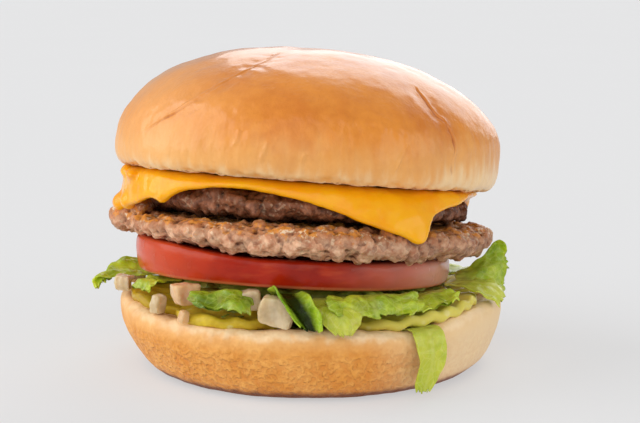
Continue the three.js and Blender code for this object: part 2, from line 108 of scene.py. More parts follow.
def modify(piece, kind, **settings):
    """Adds one modifier, sets it up and applies it."""
    only(piece)
    modifier = piece.modifiers.new(kind.lower(), kind)
    for name, value in settings.items():
        setattr(modifier, name, value)
    bpy.ops.object.modifier_apply(modifier=modifier.name)


def refine(piece, levels):
    """Rounds a piece by subdivision."""
    modify(piece, "SUBSURF", levels=levels, render_levels=levels)


# %% Read and move vertices
def rows_of(piece, what):
    """The co or the normal of each vertex."""
    flat = np.empty(3 * len(piece.data.vertices))
    piece.data.vertices.foreach_get(what, flat)
    return flat.reshape(-1, 3)


def points_of(piece):
    """The vertices as rows of x, y and z in mm."""
    return rows_of(piece, "co") / MM


def set_points(piece, x, y, z):
    """Writes the vertices back."""
    piece.data.vertices.foreach_set("co", np.ravel(np.column_stack([x, y, z]) * MM))
    piece.data.update()


def push(piece, distance):
    """Moves each vertex outwards by its own distance in mm."""
    set_points(piece, *(points_of(piece) + distance[:, None] * rows_of(piece, "normal")).T)


def mark(piece, name, values):
    """Stores a value at each vertex, for a finish to read."""
    piece.data.attributes.new(name, "FLOAT", "POINT").data.foreach_set("value", values)


# %% Curves and soft steps
def smooth(value, low, high):
    """Rises softly from 0 at low to 1 at high."""
    t = np.clip((value - low) / (high - low), 0, 1)
    return t * t * (3 - 2 * t)


def bell(angle, centre, width):
    """A bump of height 1 round an angle in degrees."""
    turn = (np.degrees(angle) - centre + 180) % 360 - 180
    return np.exp(-((turn / width) ** 2))


def ripple(angle, seed):
    """An uneven wave round an outline, about -1 to 1."""
    slow = 0.45 * np.sin(2 * angle + seed) + 0.35 * np.sin(3 * angle + 2.1 * seed)
    return slow + 0.3 * np.sin(5 * angle + 3.7 * seed)


def through(points, steps):
    """A smooth line through the points, with that many steps from each one to the next."""
    points = np.array(points, float)
    line = np.vstack([2 * points[0] - points[1], points, 2 * points[-1] - points[-2]])
    t = np.arange(steps)[:, None] / steps
    parts = []
    for a, b, c, d in zip(line, line[1:], line[2:], line[3:]):
        parts.append(b + 0.5 * t * (c - a + t * (2 * a - 5 * b + 4 * c - d + t * (3 * b - a - 3 * c + d))))
    return np.vstack(parts + [points[-1:]])


def along(line, t):
    """The place on a line at each t from 0 to 1."""
    spots = np.linspace(0, 1, len(line))
    return np.stack([np.interp(t, spots, column) for column in np.transpose(line)], axis=-1)


def unit(vectors):
    """The same directions with length 1."""
    return vectors / np.linalg.norm(vectors, axis=-1, keepdims=True)


# %% [markdown]
# ## Turning and lumps
#
# Buns and slices are round, so each is spun from half of its outline, as a potter turns a bowl: a vertex is
# extruded from point to point, and the line is spun about the axis. Nothing in food is smooth, so Displace
# modifiers with cloud patterns then push the surface in and out.

# %% Spin an outline, push lumps into a surface
WELD = 0.01 * MM


def spun(name, outline, segments):
    """A closed round solid from (radius, height) points that run from the axis to the axis."""
    spots = [Vector((radius, 0, height)) * MM for radius, height in outline]
    piece = added(name, bpy.ops.mesh.primitive_plane_add, size=MM, location=spots[0])
    mode("EDIT")
    bpy.ops.mesh.select_all(action="SELECT")
    bpy.ops.mesh.merge(type="CENTER")
    for start, end in zip(spots, spots[1:]):
        bpy.ops.mesh.extrude_region_move(TRANSFORM_OT_translate={"value": end - start})
    bpy.ops.mesh.select_all(action="SELECT")
    bpy.ops.mesh.spin(steps=segments, angle=math.tau, center=(0, 0, 0), axis=(0, 0, 1))
    bpy.ops.mesh.select_all(action="SELECT")
    bpy.ops.mesh.remove_doubles(threshold=WELD)
    bpy.ops.mesh.normals_make_consistent(inside=False)
    mode("OBJECT")
    return piece


def lumpy(piece, *clouds_of):
    """Pushes the surface in and out by clouds of each (size, height) in mm."""
    for size, height in clouds_of:
        texture = bpy.data.textures.new(f"clouds {size}", "CLOUDS")
        texture.noise_scale = size * MM
        modify(piece, "DISPLACE", texture=texture, texture_coords="LOCAL", strength=height * MM)


def noise_at(points, stretch, seed):
    """Noise, about -1 to 1, of features as large as stretch says along x, y and z in mm."""
    return np.array([noise.noise(spot) for spot in (points / np.array(stretch) + 17.3 * seed).tolist()])


# %% [markdown]
# ## Helpers for finishes
#
# A finish is a tree of shader nodes. It lies on the bench while it is built, and each helper adds to it.
# Colours are given as on a painter's card, 0 to 255, and turned into the renderer's linear values. Patterns
# read Object coordinates, because each piece sits at the origin, so a pattern keeps its real size.

# %% Add shader nodes
bench = {}


def put(kind, inputs=None, **settings):
    """Adds a node, sets it up, and feeds its inputs with values or with other nodes' outputs."""
    node = bench["tree"].nodes.new("ShaderNode" + kind)
    for name, value in settings.items():
        setattr(node, name, value)
    for key, value in (inputs or {}).items():
        if isinstance(value, bpy.types.NodeSocket):
            bench["tree"].links.new(value, node.inputs[key])
        else:
            node.inputs[key].default_value = value
    return node


def calc(operation, *values):
    """One step of arithmetic."""
    return put("Math", dict(enumerate(values)), operation=operation).outputs[0]


def times(first, second):
    """A product."""
    return calc("MULTIPLY", first, second)


def between(value, low, high, start=0, end=1):
    """Maps a value softly from the range low to high onto start to end."""
    inputs = {"Value": value, "From Min": low, "From Max": high, "To Min": start, "To Max": end}
    return put("MapRange", inputs, interpolation_type="SMOOTHSTEP").outputs[0]


# %% Colours
def painted(colour):
    """The linear value of a colour from the card. A node's output is passed on."""
    if not isinstance(colour, tuple):
        return colour
    shares = [value / 255 for value in colour]
    return (*[share / 12.92 if share <= 0.04045 else ((share + 0.055) / 1.055) ** 2.4 for share in shares], 1)


def tint(share, first, second):
    """A share of the second colour over the first one."""
    return put("Mix", {0: share, 6: painted(first), 7: painted(second)}, data_type="RGBA").outputs[2]


def coated(colour, *coats):
    """Covers a colour with coats of (other colour, share), one over the other."""
    for other, share in coats:
        colour = tint(share, colour, other)
    return colour


# %% Patterns and relief
def in_mm(where):
    """The x, y and z of a place in mm."""
    return [times(axis, 1 / MM) for axis in put("SeparateXYZ", {0: where}).outputs]


def clouds(where, size, detail=2, stretch=(1, 1, 1)):
    """Noise from 0 to 1 whose features are size mm wide, stretched along the axes."""
    scale = tuple(1 / (MM * size * s) for s in stretch)
    place = put("Mapping", {"Vector": where, "Scale": scale}).outputs[0]
    return put("TexNoise", {"Vector": place, "Scale": 1, "Detail": detail}).outputs[0]


def cells(where, size, feature="F1"):
    """The distance to the nearest of many points, size mm apart, as a share of that size."""
    return put("TexVoronoi", {"Vector": where, "Scale": 1 / (MM * size)}, feature=feature).outputs["Distance"]


def raised(height, depth, below=None):
    """A Bump node: height from 0 to 1 stands depth mm proud."""
    inputs = {"Height": height, "Distance": depth * MM}
    if below is not None:
        inputs["Normal"] = below
    return put("Bump", inputs).outputs[0]


def attribute(name):
    """A value stored at each vertex."""
    return put("Attribute", attribute_name=name).outputs["Fac"]


# %% Begin and end a finish
def new_finish(name):
    """Lays an empty material on the bench and returns its Object coordinates."""
    material = bpy.data.materials.new(name)
    material.use_nodes = True
    material.node_tree.nodes.clear()
    bench.update(material=material, tree=material.node_tree)
    return put("TexCoord").outputs["Object"]


def surface(colour, roughness, gloss=0.5, juice=(), **sockets):
    """Ends a finish with its shader. Juice is the light inside: weight, colour radii, scale in metres."""
    inputs = {"Base Color": colour, "Roughness": roughness, "Specular IOR Level": gloss}
    inputs.update(zip(("Subsurface Weight", "Subsurface Radius", "Subsurface Scale"), juice))
    inputs.update({name.replace("_", " "): value for name, value in sockets.items()})
    put("OutputMaterial", {"Surface": put("BsdfPrincipled", inputs).outputs[0]})
    return bench["material"]


# %% [markdown]
# ## Shared effects
#
# Two effects turn up in many finishes: how high a spot lies in its leaning layer, and mottling. Each is a
# node group, built once with named inputs, so a finish only says how much of it there is.

# %% A group with named inputs and one output
def new_group(name, output, **inputs):
    """Lays an empty node group on the bench and returns it with its inputs."""
    group = bpy.data.node_groups.new(name, "ShaderNodeTree")
    for socket, kind in inputs.items():
        group.interface.new_socket(socket, in_out="INPUT", socket_type="NodeSocket" + kind)
    group.interface.new_socket(output, in_out="OUTPUT", socket_type="NodeSocketFloat")
    bench["tree"] = group
    return group, group.nodes.new("NodeGroupInput").outputs


def give(value):
    """Ends a group with its output."""
    group = bench["tree"]
    group.links.new(value, group.nodes.new("NodeGroupOutput").inputs[0])


# %% Height in a leaning layer
layer_height, given = new_group("layer height", "Height", Where="Vector", Lean="Vector", Base="Float")
dot = put("VectorMath", {0: given["Where"], 1: given["Lean"]}, operation="DOT_PRODUCT").outputs["Value"]
give(calc("SUBTRACT", times(dot, 1 / MM), given["Base"]))


def height_in_layer(where, tilt, base):
    """How high a place lies over the foot of its layer, in mm."""
    inputs = {"Where": where, "Lean": (-tilt[0], -tilt[1], 1), "Base": base}
    return put("Group", inputs, node_tree=layer_height).outputs["Height"]


# %% Mottling: broad clouds broken up by finer ones
mottle, given = new_group("mottle", "Value", Where="Vector", Broad="Float", Fine="Float")
layers = []
for size, detail, share in (("Broad", 2, 0.65), ("Fine", 3, 0.35)):
    scale = calc("DIVIDE", 1 / MM, given[size])
    layer = put("TexNoise", {"Vector": given["Where"], "Scale": scale, "Detail": detail}).outputs[0]
    layers.append(times(layer, share))
give(between(calc("ADD", *layers), 0.3, 0.7))


def mottled(where, broad, fine, first, second):
    """Two colours in clouds, whose broad and fine sizes are in mm."""
    inputs = {"Where": where, "Broad": broad, "Fine": fine}
    return tint(put("Group", inputs, node_tree=mottle).outputs["Value"], first, second)


print("shared effects:", [group.name for group in bpy.data.node_groups])

# %% [markdown]
# ## Handing a piece over
#
# A finished piece gets smooth shading and its materials, hides the CAD node it stands for, and rides on the
# one body, because food has no joints.

# %% Hand a piece over
def hand_over(piece, slot, node, *materials):
    """Gives a piece its finish and ties it to the frame."""
    only(piece)
    bpy.ops.object.shade_smooth()
    for material in materials:
        piece.data.materials.append(material)
    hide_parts(node)
    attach(piece, "root")
    print(piece.name, sum(len(face.vertices) - 2 for face in piece.data.polygons), "triangles")


# %% [markdown]
# ## The lean of the stack
#
# No stack of food is level. Tomato and patties lean down towards the back and the right, and the crown
# leans a little more. Each layer is a plane, and every formula below asks its layer how high it is.

# %% Layers
STACK_TILT = (-0.05, -0.095)
CROWN_TILT = (-0.078, -0.095)
TOMATO_BOTTOM = 24.9
TOMATO_THICKNESS = 7.7
LOWER_PATTY_TOP = 42.1
CROWN_BASE = 53.4
CHEESE_THICKNESS = 2.6
GAP = 0.35
UPPER_PATTY_TOP = CROWN_BASE - 2 * GAP - CHEESE_THICKNESS


def level(x, y, height, tilt):
    """The height of a leaning layer over x and y, in mm."""
    return height + tilt[0] * x + tilt[1] * y


# %% [markdown]
# ## The crown
#
# The crown is a soft bun: a dome on a short undercut belt. It is spun from a superellipse, because that has
# a fuller shoulder than a circle. It could be sculpted by hand, but a formula keeps it on its layer. Its
# few creases, where soft dough folded as it cooled, are pressed in along listed lines.

# %% Crown: outline
BUN_RADIUS = 55
CROWN_HEIGHT = 36.5
BELT_HEIGHT = 7
DOME_STEPS = 12

crown_outline = [(0, 0), (24, 0), (42, 0), (49.8, 0), (52.1, 0.3), (53.5, 1.2), (54.2, 2.8), (54.5, 4.7)]
for step in range(DOME_STEPS):
    turn = step / DOME_STEPS * math.pi / 2
    dome_radius = (BUN_RADIUS - 0.4) * math.cos(turn) ** 0.92
    crown_outline.append((dome_radius, BELT_HEIGHT + (CROWN_HEIGHT - BELT_HEIGHT) * math.sin(turn) ** 0.95))
crown_outline.append((0, CROWN_HEIGHT))
crown = spun("crown", crown_outline, 60)
refine(crown, 3)
print("crown vertices:", len(crown.data.vertices))

# %% Crown: lean it on its layer and tear its lower edge
CROWN_CENTRE = -1.4
x, y, height = points_of(crown).T
angle = np.arctan2(y, x)
radius = np.hypot(x, y)
swell = 1 + 0.007 * ripple(angle, 4.1)
swell += 0.022 * bell(angle, 352, 50) * smooth(height, 6, 16) * (1 - smooth(height, 24, 33))
swell += 0.014 * bell(angle, 180, 50) * (1 - smooth(height, 12, 22))
dent = 0.012 * ripple(angle, 2.2) * smooth(height, 0, 20) * smooth(radius, 0, 30)
x = CROWN_CENTRE + x * swell
y = y * swell
footing = level(x, y, CROWN_BASE, CROWN_TILT)
set_points(crown, x - CROWN_TILT[0] * height, y - CROWN_TILT[1] * height, footing + height * (1 + dent))
points = points_of(crown)
torn_edge = noise_at(points, (2.6, 2.6, 6), 6) * (1 - smooth(height, 0, 3)) * smooth(radius, 45, 51)
points[:, 2] -= 0.75 * torn_edge
set_points(crown, *points.T)


# %% Crown: a tool that presses creases
def press(piece, path, width, depth, lip=0):
    """Presses a groove along a path, with a lip on its left, in mm. Returns each vertex's share in it."""
    line = through(path, 6)
    points = points_of(piece)
    reach = 4 * width
    near = np.all((points > line.min(axis=0) - reach) & (points < line.max(axis=0) + reach), axis=1)
    spots = points[near]
    normals = rows_of(piece, "normal")[near]
    best = np.full(len(spots), np.inf)
    share = np.zeros(len(spots))
    side = np.zeros(len(spots))
    for index, (start, end) in enumerate(zip(line, line[1:])):
        run = end - start
        t = np.clip((spots - start) @ run / (run @ run), 0, 1)
        gap = spots - start - t[:, None] * run
        distance = np.linalg.norm(gap, axis=1)
        closer = distance < best
        best = np.where(closer, distance, best)
        share = np.where(closer, (index + t) / (len(line) - 1), share)
        side = np.where(closer, np.sum(np.cross(run, gap) * normals, axis=1), side)
    ends = smooth(share, 0, 0.25) * (1 - smooth(share, 0.88, 1))
    fade_out = ends * (0.8 + 0.8 * noise_at(spots, (3, 3, 3), 9))
    ridge = lip * np.exp(-((best / width - 2) ** 2)) * (side > 0)
    moved, folded = np.zeros((2, len(points)))
    moved[near] = (ridge - depth * np.exp(-((best / width) ** 2))) * fade_out
    folded[near] = fade_out * np.exp(-((best / (0.9 * width)) ** 2))
    push(piece, moved)
    return folded


# %% Crown: where it creases
LONG_CREASES = [
    [(-45, -29, 67), (-42.6, -33.3, 70.4), (-34, -38.2, 76), (-25.9, -38, 81.2), (-18.5, -33.8, 85.4),
     (-13.9, -29.5, 87.5), (-10.6, -24.3, 89), (-8, -18, 90)],
    [(27.5, -28, 81.5), (28.7, -30.6, 80.4), (30.6, -33.5, 77.7), (32.6, -35.6, 74.7), (35, -35.6, 72.3),
     (38.2, -36.4, 66.1), (37.6, -38, 61.7), (37.2, -37.2, 57.4)],
]
ARCH_CREASE = [(7.4, -51.4, 72.2), (11.5, -49.6, 73.5), (15.9, -48.1, 73.4), (22.1, -47, 70.2),
               (26, -46, 67.4)]
SHORT_CREASES = [
    [(22, -49, 59), (22.9, -48.2, 61.3), (24.4, -47.4, 64.4), (26, -46, 67.4)],
    [(-19, -50.7, 66.5), (-17.7, -50.6, 69.1), (-17, -50.1, 71.6)],
    [(-12.1, -52.3, 62.9), (-10.5, -53, 66.2), (-9.6, -52.4, 69)],
    [(-2.5, -51.7, 59.5), (-1.4, -53.8, 62.8), (-0.4, -53.4, 66)],
    [(-22.6, -46.6, 60.4), (-22, -48, 63.4), (-21.2, -47.6, 66)],
]

# %% Crown: cut the faces near the creases finer, so that thin lines can be pressed in
CUT_REACH = 1.3
middles = np.array([face.center for face in crown.data.polygons]) / MM
near = np.zeros(len(middles), bool)
for path in LONG_CREASES + [ARCH_CREASE] + SHORT_CREASES:
    for spot in through(path, 24):
        near |= np.sum((middles - spot) ** 2, axis=1) < CUT_REACH ** 2
only(crown)
mode("EDIT")
bpy.ops.mesh.select_mode(type="FACE")
bpy.ops.mesh.select_all(action="DESELECT")
mode("OBJECT")
crown.data.polygons.foreach_set("select", near)
mode("EDIT")
bpy.ops.mesh.subdivide(number_cuts=2)
bpy.ops.mesh.select_mode(type="VERT")
mode("OBJECT")
print("faces cut finer:", near.sum())

# %% Crown: press creases
VALLEY_WIDTH = 4.5
LINE_WIDTH = 0.34
for crease in LONG_CREASES:
    press(crown, crease, VALLEY_WIDTH, 0.5)
press(crown, ARCH_CREASE, 0.9, -0.2, lip=0.1)
for crease in SHORT_CREASES:
    press(crown, crease, 0.45, 0.12, lip=0.3)
# The long creases also get thin lines. The share of each vertex in them is stored as fold, so that the crust
# is painted darker there, as painted shade in the crease.
folds = [press(crown, crease, LINE_WIDTH, 0.6, lip=0.2) for crease in LONG_CREASES]
mark(crown, "fold", np.maximum(*folds))
print("creases pressed:", 3 + len(SHORT_CREASES))

# %% Crown: stretched wrinkles on the sides, and lumps
points = points_of(crown)
x, y, z = points.T
height = z - level(x, y, CROWN_BASE, CROWN_TILT)
band = smooth(height, 1, 3) * (1 - smooth(height, 16, 22))
upright = noise_at(points, (1.6, 1.6, 9), 1) + 0.6 * noise_at(points, (0.9, 0.9, 5), 2)
push(crown, 0.14 * band * upright)
lumpy(crown, (14, 0.9), (2.4, 0.1))
print("crown box in mm:", points_of(crown).min(axis=0).round(1), points_of(crown).max(axis=0).round(1))

# %% [markdown]
# ## Crust and crumb
#
# Crust colour follows the oven: pale where the dough was shielded, golden where it faced the heat, darkest
# on the pan. So the colour comes from the height in the layer, broken up by clouds and upright streaks. The
# crown's left side is painted lighter, as painted light, and its long creases darker, as painted shade. A
# coat, thickest on top, gives the buttered sheen. The cut faces show crumb: a pale sponge of small holes,
# which are painted darker, as painted shade.

# %% Finish: crumb
where = new_finish("toasted crumb")
holes = between(cells(where, 1.3), 0.1, 0.5)
toast = mottled(where, 7, 1.5, (243, 214, 168), (222, 166, 104))
# The holes are painted darker, as painted shade inside them.
crumb = surface(tint(holes, (196, 140, 86), toast), 0.85, Normal=raised(holes, 0.35))

# %% Finish: the crown's crust
where = new_finish("crown crust")
height = height_in_layer(where, CROWN_TILT, CROWN_BASE)
rightward = in_mm(where)[0]
streaks = clouds(where, 3.2, 4, stretch=(1, 1, 4))
wander = calc("MULTIPLY_ADD", streaks, 12, -6)
edge = calc("SUBTRACT", calc("ADD", height, wander), between(rightward, 15, 52, 0, 6))
colour = coated(
    mottled(where, 16, 2.5, (232, 144, 46), (212, 120, 28)),
    # Painted light: the left side of the crown is painted lighter, where the left lamp falls.
    ((250, 178, 100), between(rightward, -48, -8, 0.6, 0)),
    ((242, 190, 116), between(edge, 2, 15, 0.5, 0)),
    ((246, 216, 166), between(edge, -3, 4, 0.75, 0)),
    # Painted shade: darker along the thin lines of the long creases.
    ((156, 70, 16), times(attribute("fold"), 0.8)),
)
skin = clouds(where, 0.9, 4, stretch=(1, 1, 1.6))
crinkles = clouds(where, 3.6, 3, stretch=(1.8, 1, 1))
normal = raised(skin, 0.2, raised(crinkles, 0.32, raised(streaks, 0.08)))
glaze = between(height, 12, 27, 0.35, 0.9)
crown_crust = surface(colour, 0.45, 0.25, Normal=normal, Coat_Weight=glaze, Coat_Roughness=0.19, Coat_IOR=1.6)

# %% Crown: hand it over, with crumb on the cut face
hand_over(crown, "crown_crust", "crown_bun", crown_crust, crumb)
for face in crown.data.polygons:
    x, y, z = face.center / MM
    face.material_index = int(z - level(x, y, CROWN_BASE, CROWN_TILT) < 0.5 and face.normal.z < -0.8)

# %% [markdown]
# ## The heel
#
# The heel is the same dough, baked on the pan: its foot is dark, its side is finely pitted, and the fillings
# press its cut face into a dish with a pale uneven rim. It is spun like the crown, from corners that are
# first joined by a smooth line, so that few points give a round side.

# %% Heel: spin and shape
HEEL_HEIGHT = 19.5
HEEL_FLOOR = 15.6
# The radii at which the dish starts to rise and ends in the rim.
DISH_SIDE = (38, 50)

heel_corners = [(0, 0), (22, 0), (44, 0), (48, 1.1), (51, 3.8), (53, 8.5), (54.5, 13.5), (55, 16.8),
                (54.4, 19.1), (52.2, 20.2), (49, 19.5), (44.5, 18.3), (38, 16.6), (20, HEEL_FLOOR),
                (0, HEEL_FLOOR)]
heel = spun("heel", np.maximum(through(heel_corners, 2), 0), 52)
refine(heel, 3)


def rim_lift(angle):
    """How much the heel's rim stands up or is pressed down round the bun."""
    lift = 1.5 * bell(angle, 187, 16) - 0.7 * bell(angle, 240, 30) - 2 * bell(angle, 300, 15)
    return lift + 0.9 * bell(angle, 330, 14) - 1.2 * bell(angle, 80, 60)


def heel_rim(x, y):
    """The height of the rim in the direction of x and y, in mm."""
    return HEEL_HEIGHT + rim_lift(np.arctan2(y, x))


x, y, z = points_of(heel).T
angle = np.arctan2(y, x)
tuck = 0.03 * bell(angle, 195, 45) * (1 - smooth(z, 1, 14))
swell = 1 + 0.008 * ripple(angle, 1.3) * smooth(z, 2, 12) - tuck
rim = smooth(z, HEEL_FLOOR * 0.5, 19.2) * smooth(np.hypot(x, y), *DISH_SIDE)
set_points(heel, x * swell, y * swell, z + rim_lift(angle) * rim)
print("heel vertices:", len(heel.data.vertices))

# %% Heel: pits, a torn rim and small creases
points = points_of(heel)
x, y, z = points.T
side = smooth(np.hypot(x, y), 47, 52)
pitted = side * (1 - smooth(z, 12, 17)) * smooth(z, 0.5, 2.5) * (1 - 0.7 * bell(np.arctan2(y, x), 335, 45))
pits = smooth(noise_at(points, (2.1, 2.1, 1.4), 3), 0, 0.55)
torn = side * smooth(z - heel_rim(x, y), -2.6, -0.4)
ragged = 0.6 * noise_at(points, (2, 2, 2.4), 4) + noise_at(points, (4.5, 4.5, 5), 5)
push(heel, 0.5 * torn * ragged - 0.15 * pitted * pits)
RIM_CREASES = [
    [(-21, -50.6, 12.5), (-20.4, -50.8, 15), (-20.8, -50.2, 18.5)],
    [(9.6, -54, 13), (10, -54.3, 15.5), (11, -53.8, 18)],
    [(-33, -42.6, 13.5), (-33, -43, 16), (-33.4, -42.4, 18.6)],
    [(2, -54.2, 15), (2.6, -54.6, 16.6), (2.4, -54, 18.8)],
]
for crease in RIM_CREASES:
    press(heel, crease, 0.8, 0.5, lip=0.2)
lumpy(heel, (9, 0.6))
x, y, z = points_of(heel).T
z = np.maximum(z, 0)
set_points(heel, x, y, z)
mark(heel, "near rim", 1 - np.clip((heel_rim(x, y) - z) / 6, 0, 1))
print("heel height in mm:", z.max().round(1))

# %% Finish: the heel's crust
where = new_finish("heel crust")
rightward, backward, height = in_mm(where)
near_rim = attribute("near rim")
wander = calc("MULTIPLY_ADD", clouds(where, 11, 3), 8, -4)
at_right = between(calc("MULTIPLY_ADD", wander, 2, rightward), 10, 42, 0, 0.85)
shielded = times(at_right, between(calc("ADD", backward, wander), -8, 24, 1, 0.2))
frayed = between(calc("ADD", near_rim, clouds(where, 3.4, 3)), 1.08, 1.6, 0, 0.85)
porous = times(between(height, 9, 17, 1, 0.2), between(shielded, 0.1, 0.8, 1, 0.3))
hollow = times(between(clouds(where, 1.4, 1), 0.32, 0.68, 1, 0), porous)
foot_edge = calc("ADD", height, calc("MULTIPLY_ADD", clouds(where, 3, 3), 2.4, -1.2))
colour = coated(
    mottled(where, 9, 1.6, (246, 178, 92), (228, 150, 60)),
    ((242, 216, 172), shielded),
    ((244, 204, 146), between(near_rim, 0, 0.9, 0, 0.4)),
    ((252, 222, 178), times(frayed, between(rightward, -50, -16, 0.6, 1))),
    # Painted shade: the pits of the side are painted darker.
    ((202, 112, 38), times(hollow, 0.4)),
    ((196, 112, 48), between(foot_edge, 0.5, 5.5, 0.4, 0)),
    ((118, 58, 24), between(foot_edge, 1.2, 3.2, 0.95, 0)),
)
normal = raised(clouds(where, 0.8, 4), 0.12, raised(hollow, -0.4))
heel_crust = surface(colour, 0.55, 0.25, Normal=normal, Coat_Weight=0.08, Coat_Roughness=0.35)

# %% Heel: hand it over, with crumb in the dish
DISH_RADIUS = 50.2 * MM
hand_over(heel, "heel_crust", "heel_bun", heel_crust, crumb)
for face in heel.data.polygons:
    face.material_index = int(face.center.xy.length < DISH_RADIUS and face.normal.z > 0.6)

# %% [markdown]
# ## The patties
#
# A smashed patty is a cake of beef grains, 2 to 5 mm long, that browned on the griddle. The grains are real
# shapes here, because plain noise would look like rock: one is modelled, hundreds of turned copies are
# scattered over the rim of the CAD patty, and a voxel remesh fuses them as the meat fused. The copies are
# joined in one mesh by arrays, which is faster than hundreds of duplicate calls.

# %% Patty: copy a node's mesh, and find spots on its rim
def copy_of(node, name):
    """A new piece with a merged copy of a CAD node's mesh."""
    piece = linked(name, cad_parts[node].data.copy())
    piece.data.name = name
    piece.data.materials.clear()
    only(piece)
    mode("EDIT")
    bpy.ops.mesh.select_all(action="SELECT")
    bpy.ops.mesh.remove_doubles(threshold=WELD)
    mode("OBJECT")
    return piece


def rim_spots(piece, rng, count, inner, outer):
    """Random spots on a piece in mm, rarer towards its middle, with their normals."""
    points = points_of(piece)
    faces = piece.data.polygons
    from_middle = np.array([face.center.xy.length for face in faces]) / MM
    weights = np.array([face.area for face in faces]) * smooth(from_middle, inner, outer)
    chosen = rng.choice(len(faces), count, p=weights / weights.sum())
    spots = [rng.dirichlet((1, 1, 1)) @ points[list(faces[index].vertices)] for index in chosen]
    return np.array(spots), np.array([faces[index].normal for index in chosen])


# %% Patty: one grain, and many turned copies in one mesh
grain = added("grain", bpy.ops.mesh.primitive_ico_sphere_add, subdivisions=2, radius=MM)
lumpy(grain, (0.8, 0.5))


def scattered(name, model, places, scales, turns):
    """Many scaled and turned copies of a model in one mesh. Places are in mm, turns are matrices."""
    shape = points_of(model)
    faces = np.array([face.vertices[:] for face in model.data.polygons])
    copies = np.einsum("nij,nkj->nki", turns, shape[None] * scales[:, None]) + places[:, None]
    indexes = faces[None] + np.arange(len(places))[:, None, None] * len(shape)
    mesh = bpy.data.meshes.new(name)
    mesh.from_pydata((copies.reshape(-1, 3) * MM).tolist(), [], indexes.reshape(-1, faces.shape[1]).tolist())
    return linked(name, mesh)


# %% Patty: join and fuse, add given lumps, measure hollows for the colour
def join(piece, *others):
    """Joins other pieces into one."""
    only(piece)
    for other in others:
        other.select_set(True)
    bpy.ops.object.join()


def fuse(piece, voxel, passes):
    """Joins all overlapping shells of a piece into one skin of even faces."""
    modify(piece, "REMESH", mode="VOXEL", voxel_size=voxel * MM)
    modify(piece, "SMOOTH", factor=0.5, iterations=passes)


def blob(place, size):
    """A rounded lump at a place, both in mm."""
    settings = {"subdivisions": 3, "radius": MM, "location": Vector(place) * MM, "scale": size}
    return added("blob", bpy.ops.mesh.primitive_ico_sphere_add, **settings)


def mark_hollows(piece, passes, depth):
    """Stores how far each vertex lies below the smoothed form: 0 proud, 0.5 level, 1 deep."""
    level_form = linked("level form", piece.data.copy())
    modify(level_form, "SMOOTH", factor=0.9, iterations=passes)
    gap = points_of(level_form) - points_of(piece)
    below = np.sum(gap * rows_of(piece, "normal"), axis=1) / depth + 0.5
    mark(piece, "hollow", np.clip(below, 0, 1))
    bpy.data.objects.remove(level_form)


# %% Patty: build both
BEEF_VOXEL = 0.52


def beef_patty(name, node, grains, radius, seed, *lumps):
    """A patty with grains fused over its rim, and some bigger lumps of (place, size)."""
    rng = np.random.default_rng(seed)
    piece = copy_of(node, name)
    modify(piece, "DISPLACE", strength=-0.8 * MM, mid_level=0)
    spots, normals = rim_spots(piece, rng, grains, radius - 16, radius - 4)
    size = rng.uniform(0.7, 2.5, grains)
    shapes = np.column_stack([np.ones(grains), rng.uniform(1, 1.6, grains), rng.uniform(0.6, 1, grains)])
    turns = [Quaternion(turn).normalized().to_matrix() for turn in rng.normal(size=(grains, 4)).tolist()]
    places = spots - normals * (0.55 * size)[:, None]
    rim = scattered("grains", grain, places, size[:, None] * shapes, np.array(turns))
    join(piece, rim, *[blob(*lump) for lump in lumps])
    fuse(piece, BEEF_VOXEL, 3)
    lumpy(piece, (7, 1.6), (2.6, 0.8), (1.3, 0.6))
    mark_hollows(piece, 14, 1.5)
    return piece


LEFT_LUMPS = [((-47, -14, 47), (3.4, 5, 2.6)), ((-54, -9, 42.5), (2.6, 4, 3))]
UPPER_LUMP = ((-46.5, -9, 49), (2.6, 5, 3.4))
lower_patty = beef_patty("lower_patty_beef", "lower_patty", 1300, 53, 11, *LEFT_LUMPS)
upper_patty = beef_patty("upper_patty_beef", "upper_patty", 1000, 47.5, 12, UPPER_LUMP)
bpy.data.objects.remove(grain)


# %% [markdown]
# ## Seared beef
#
# The griddle browned what stood proud, and gold flecks lie on top. The rest of the colour is painted light
# and shade: the hollows, from the stored hollow value, are painted dark, pale specks of fat are painted
# glints, the right side is painted darker, and the foot of the upper patty is painted nearly black where it
# sits on the lower one. The upper patty is painted darker overall, as painted shade under the cheese and
# bun. The juices give a soft uneven shine.

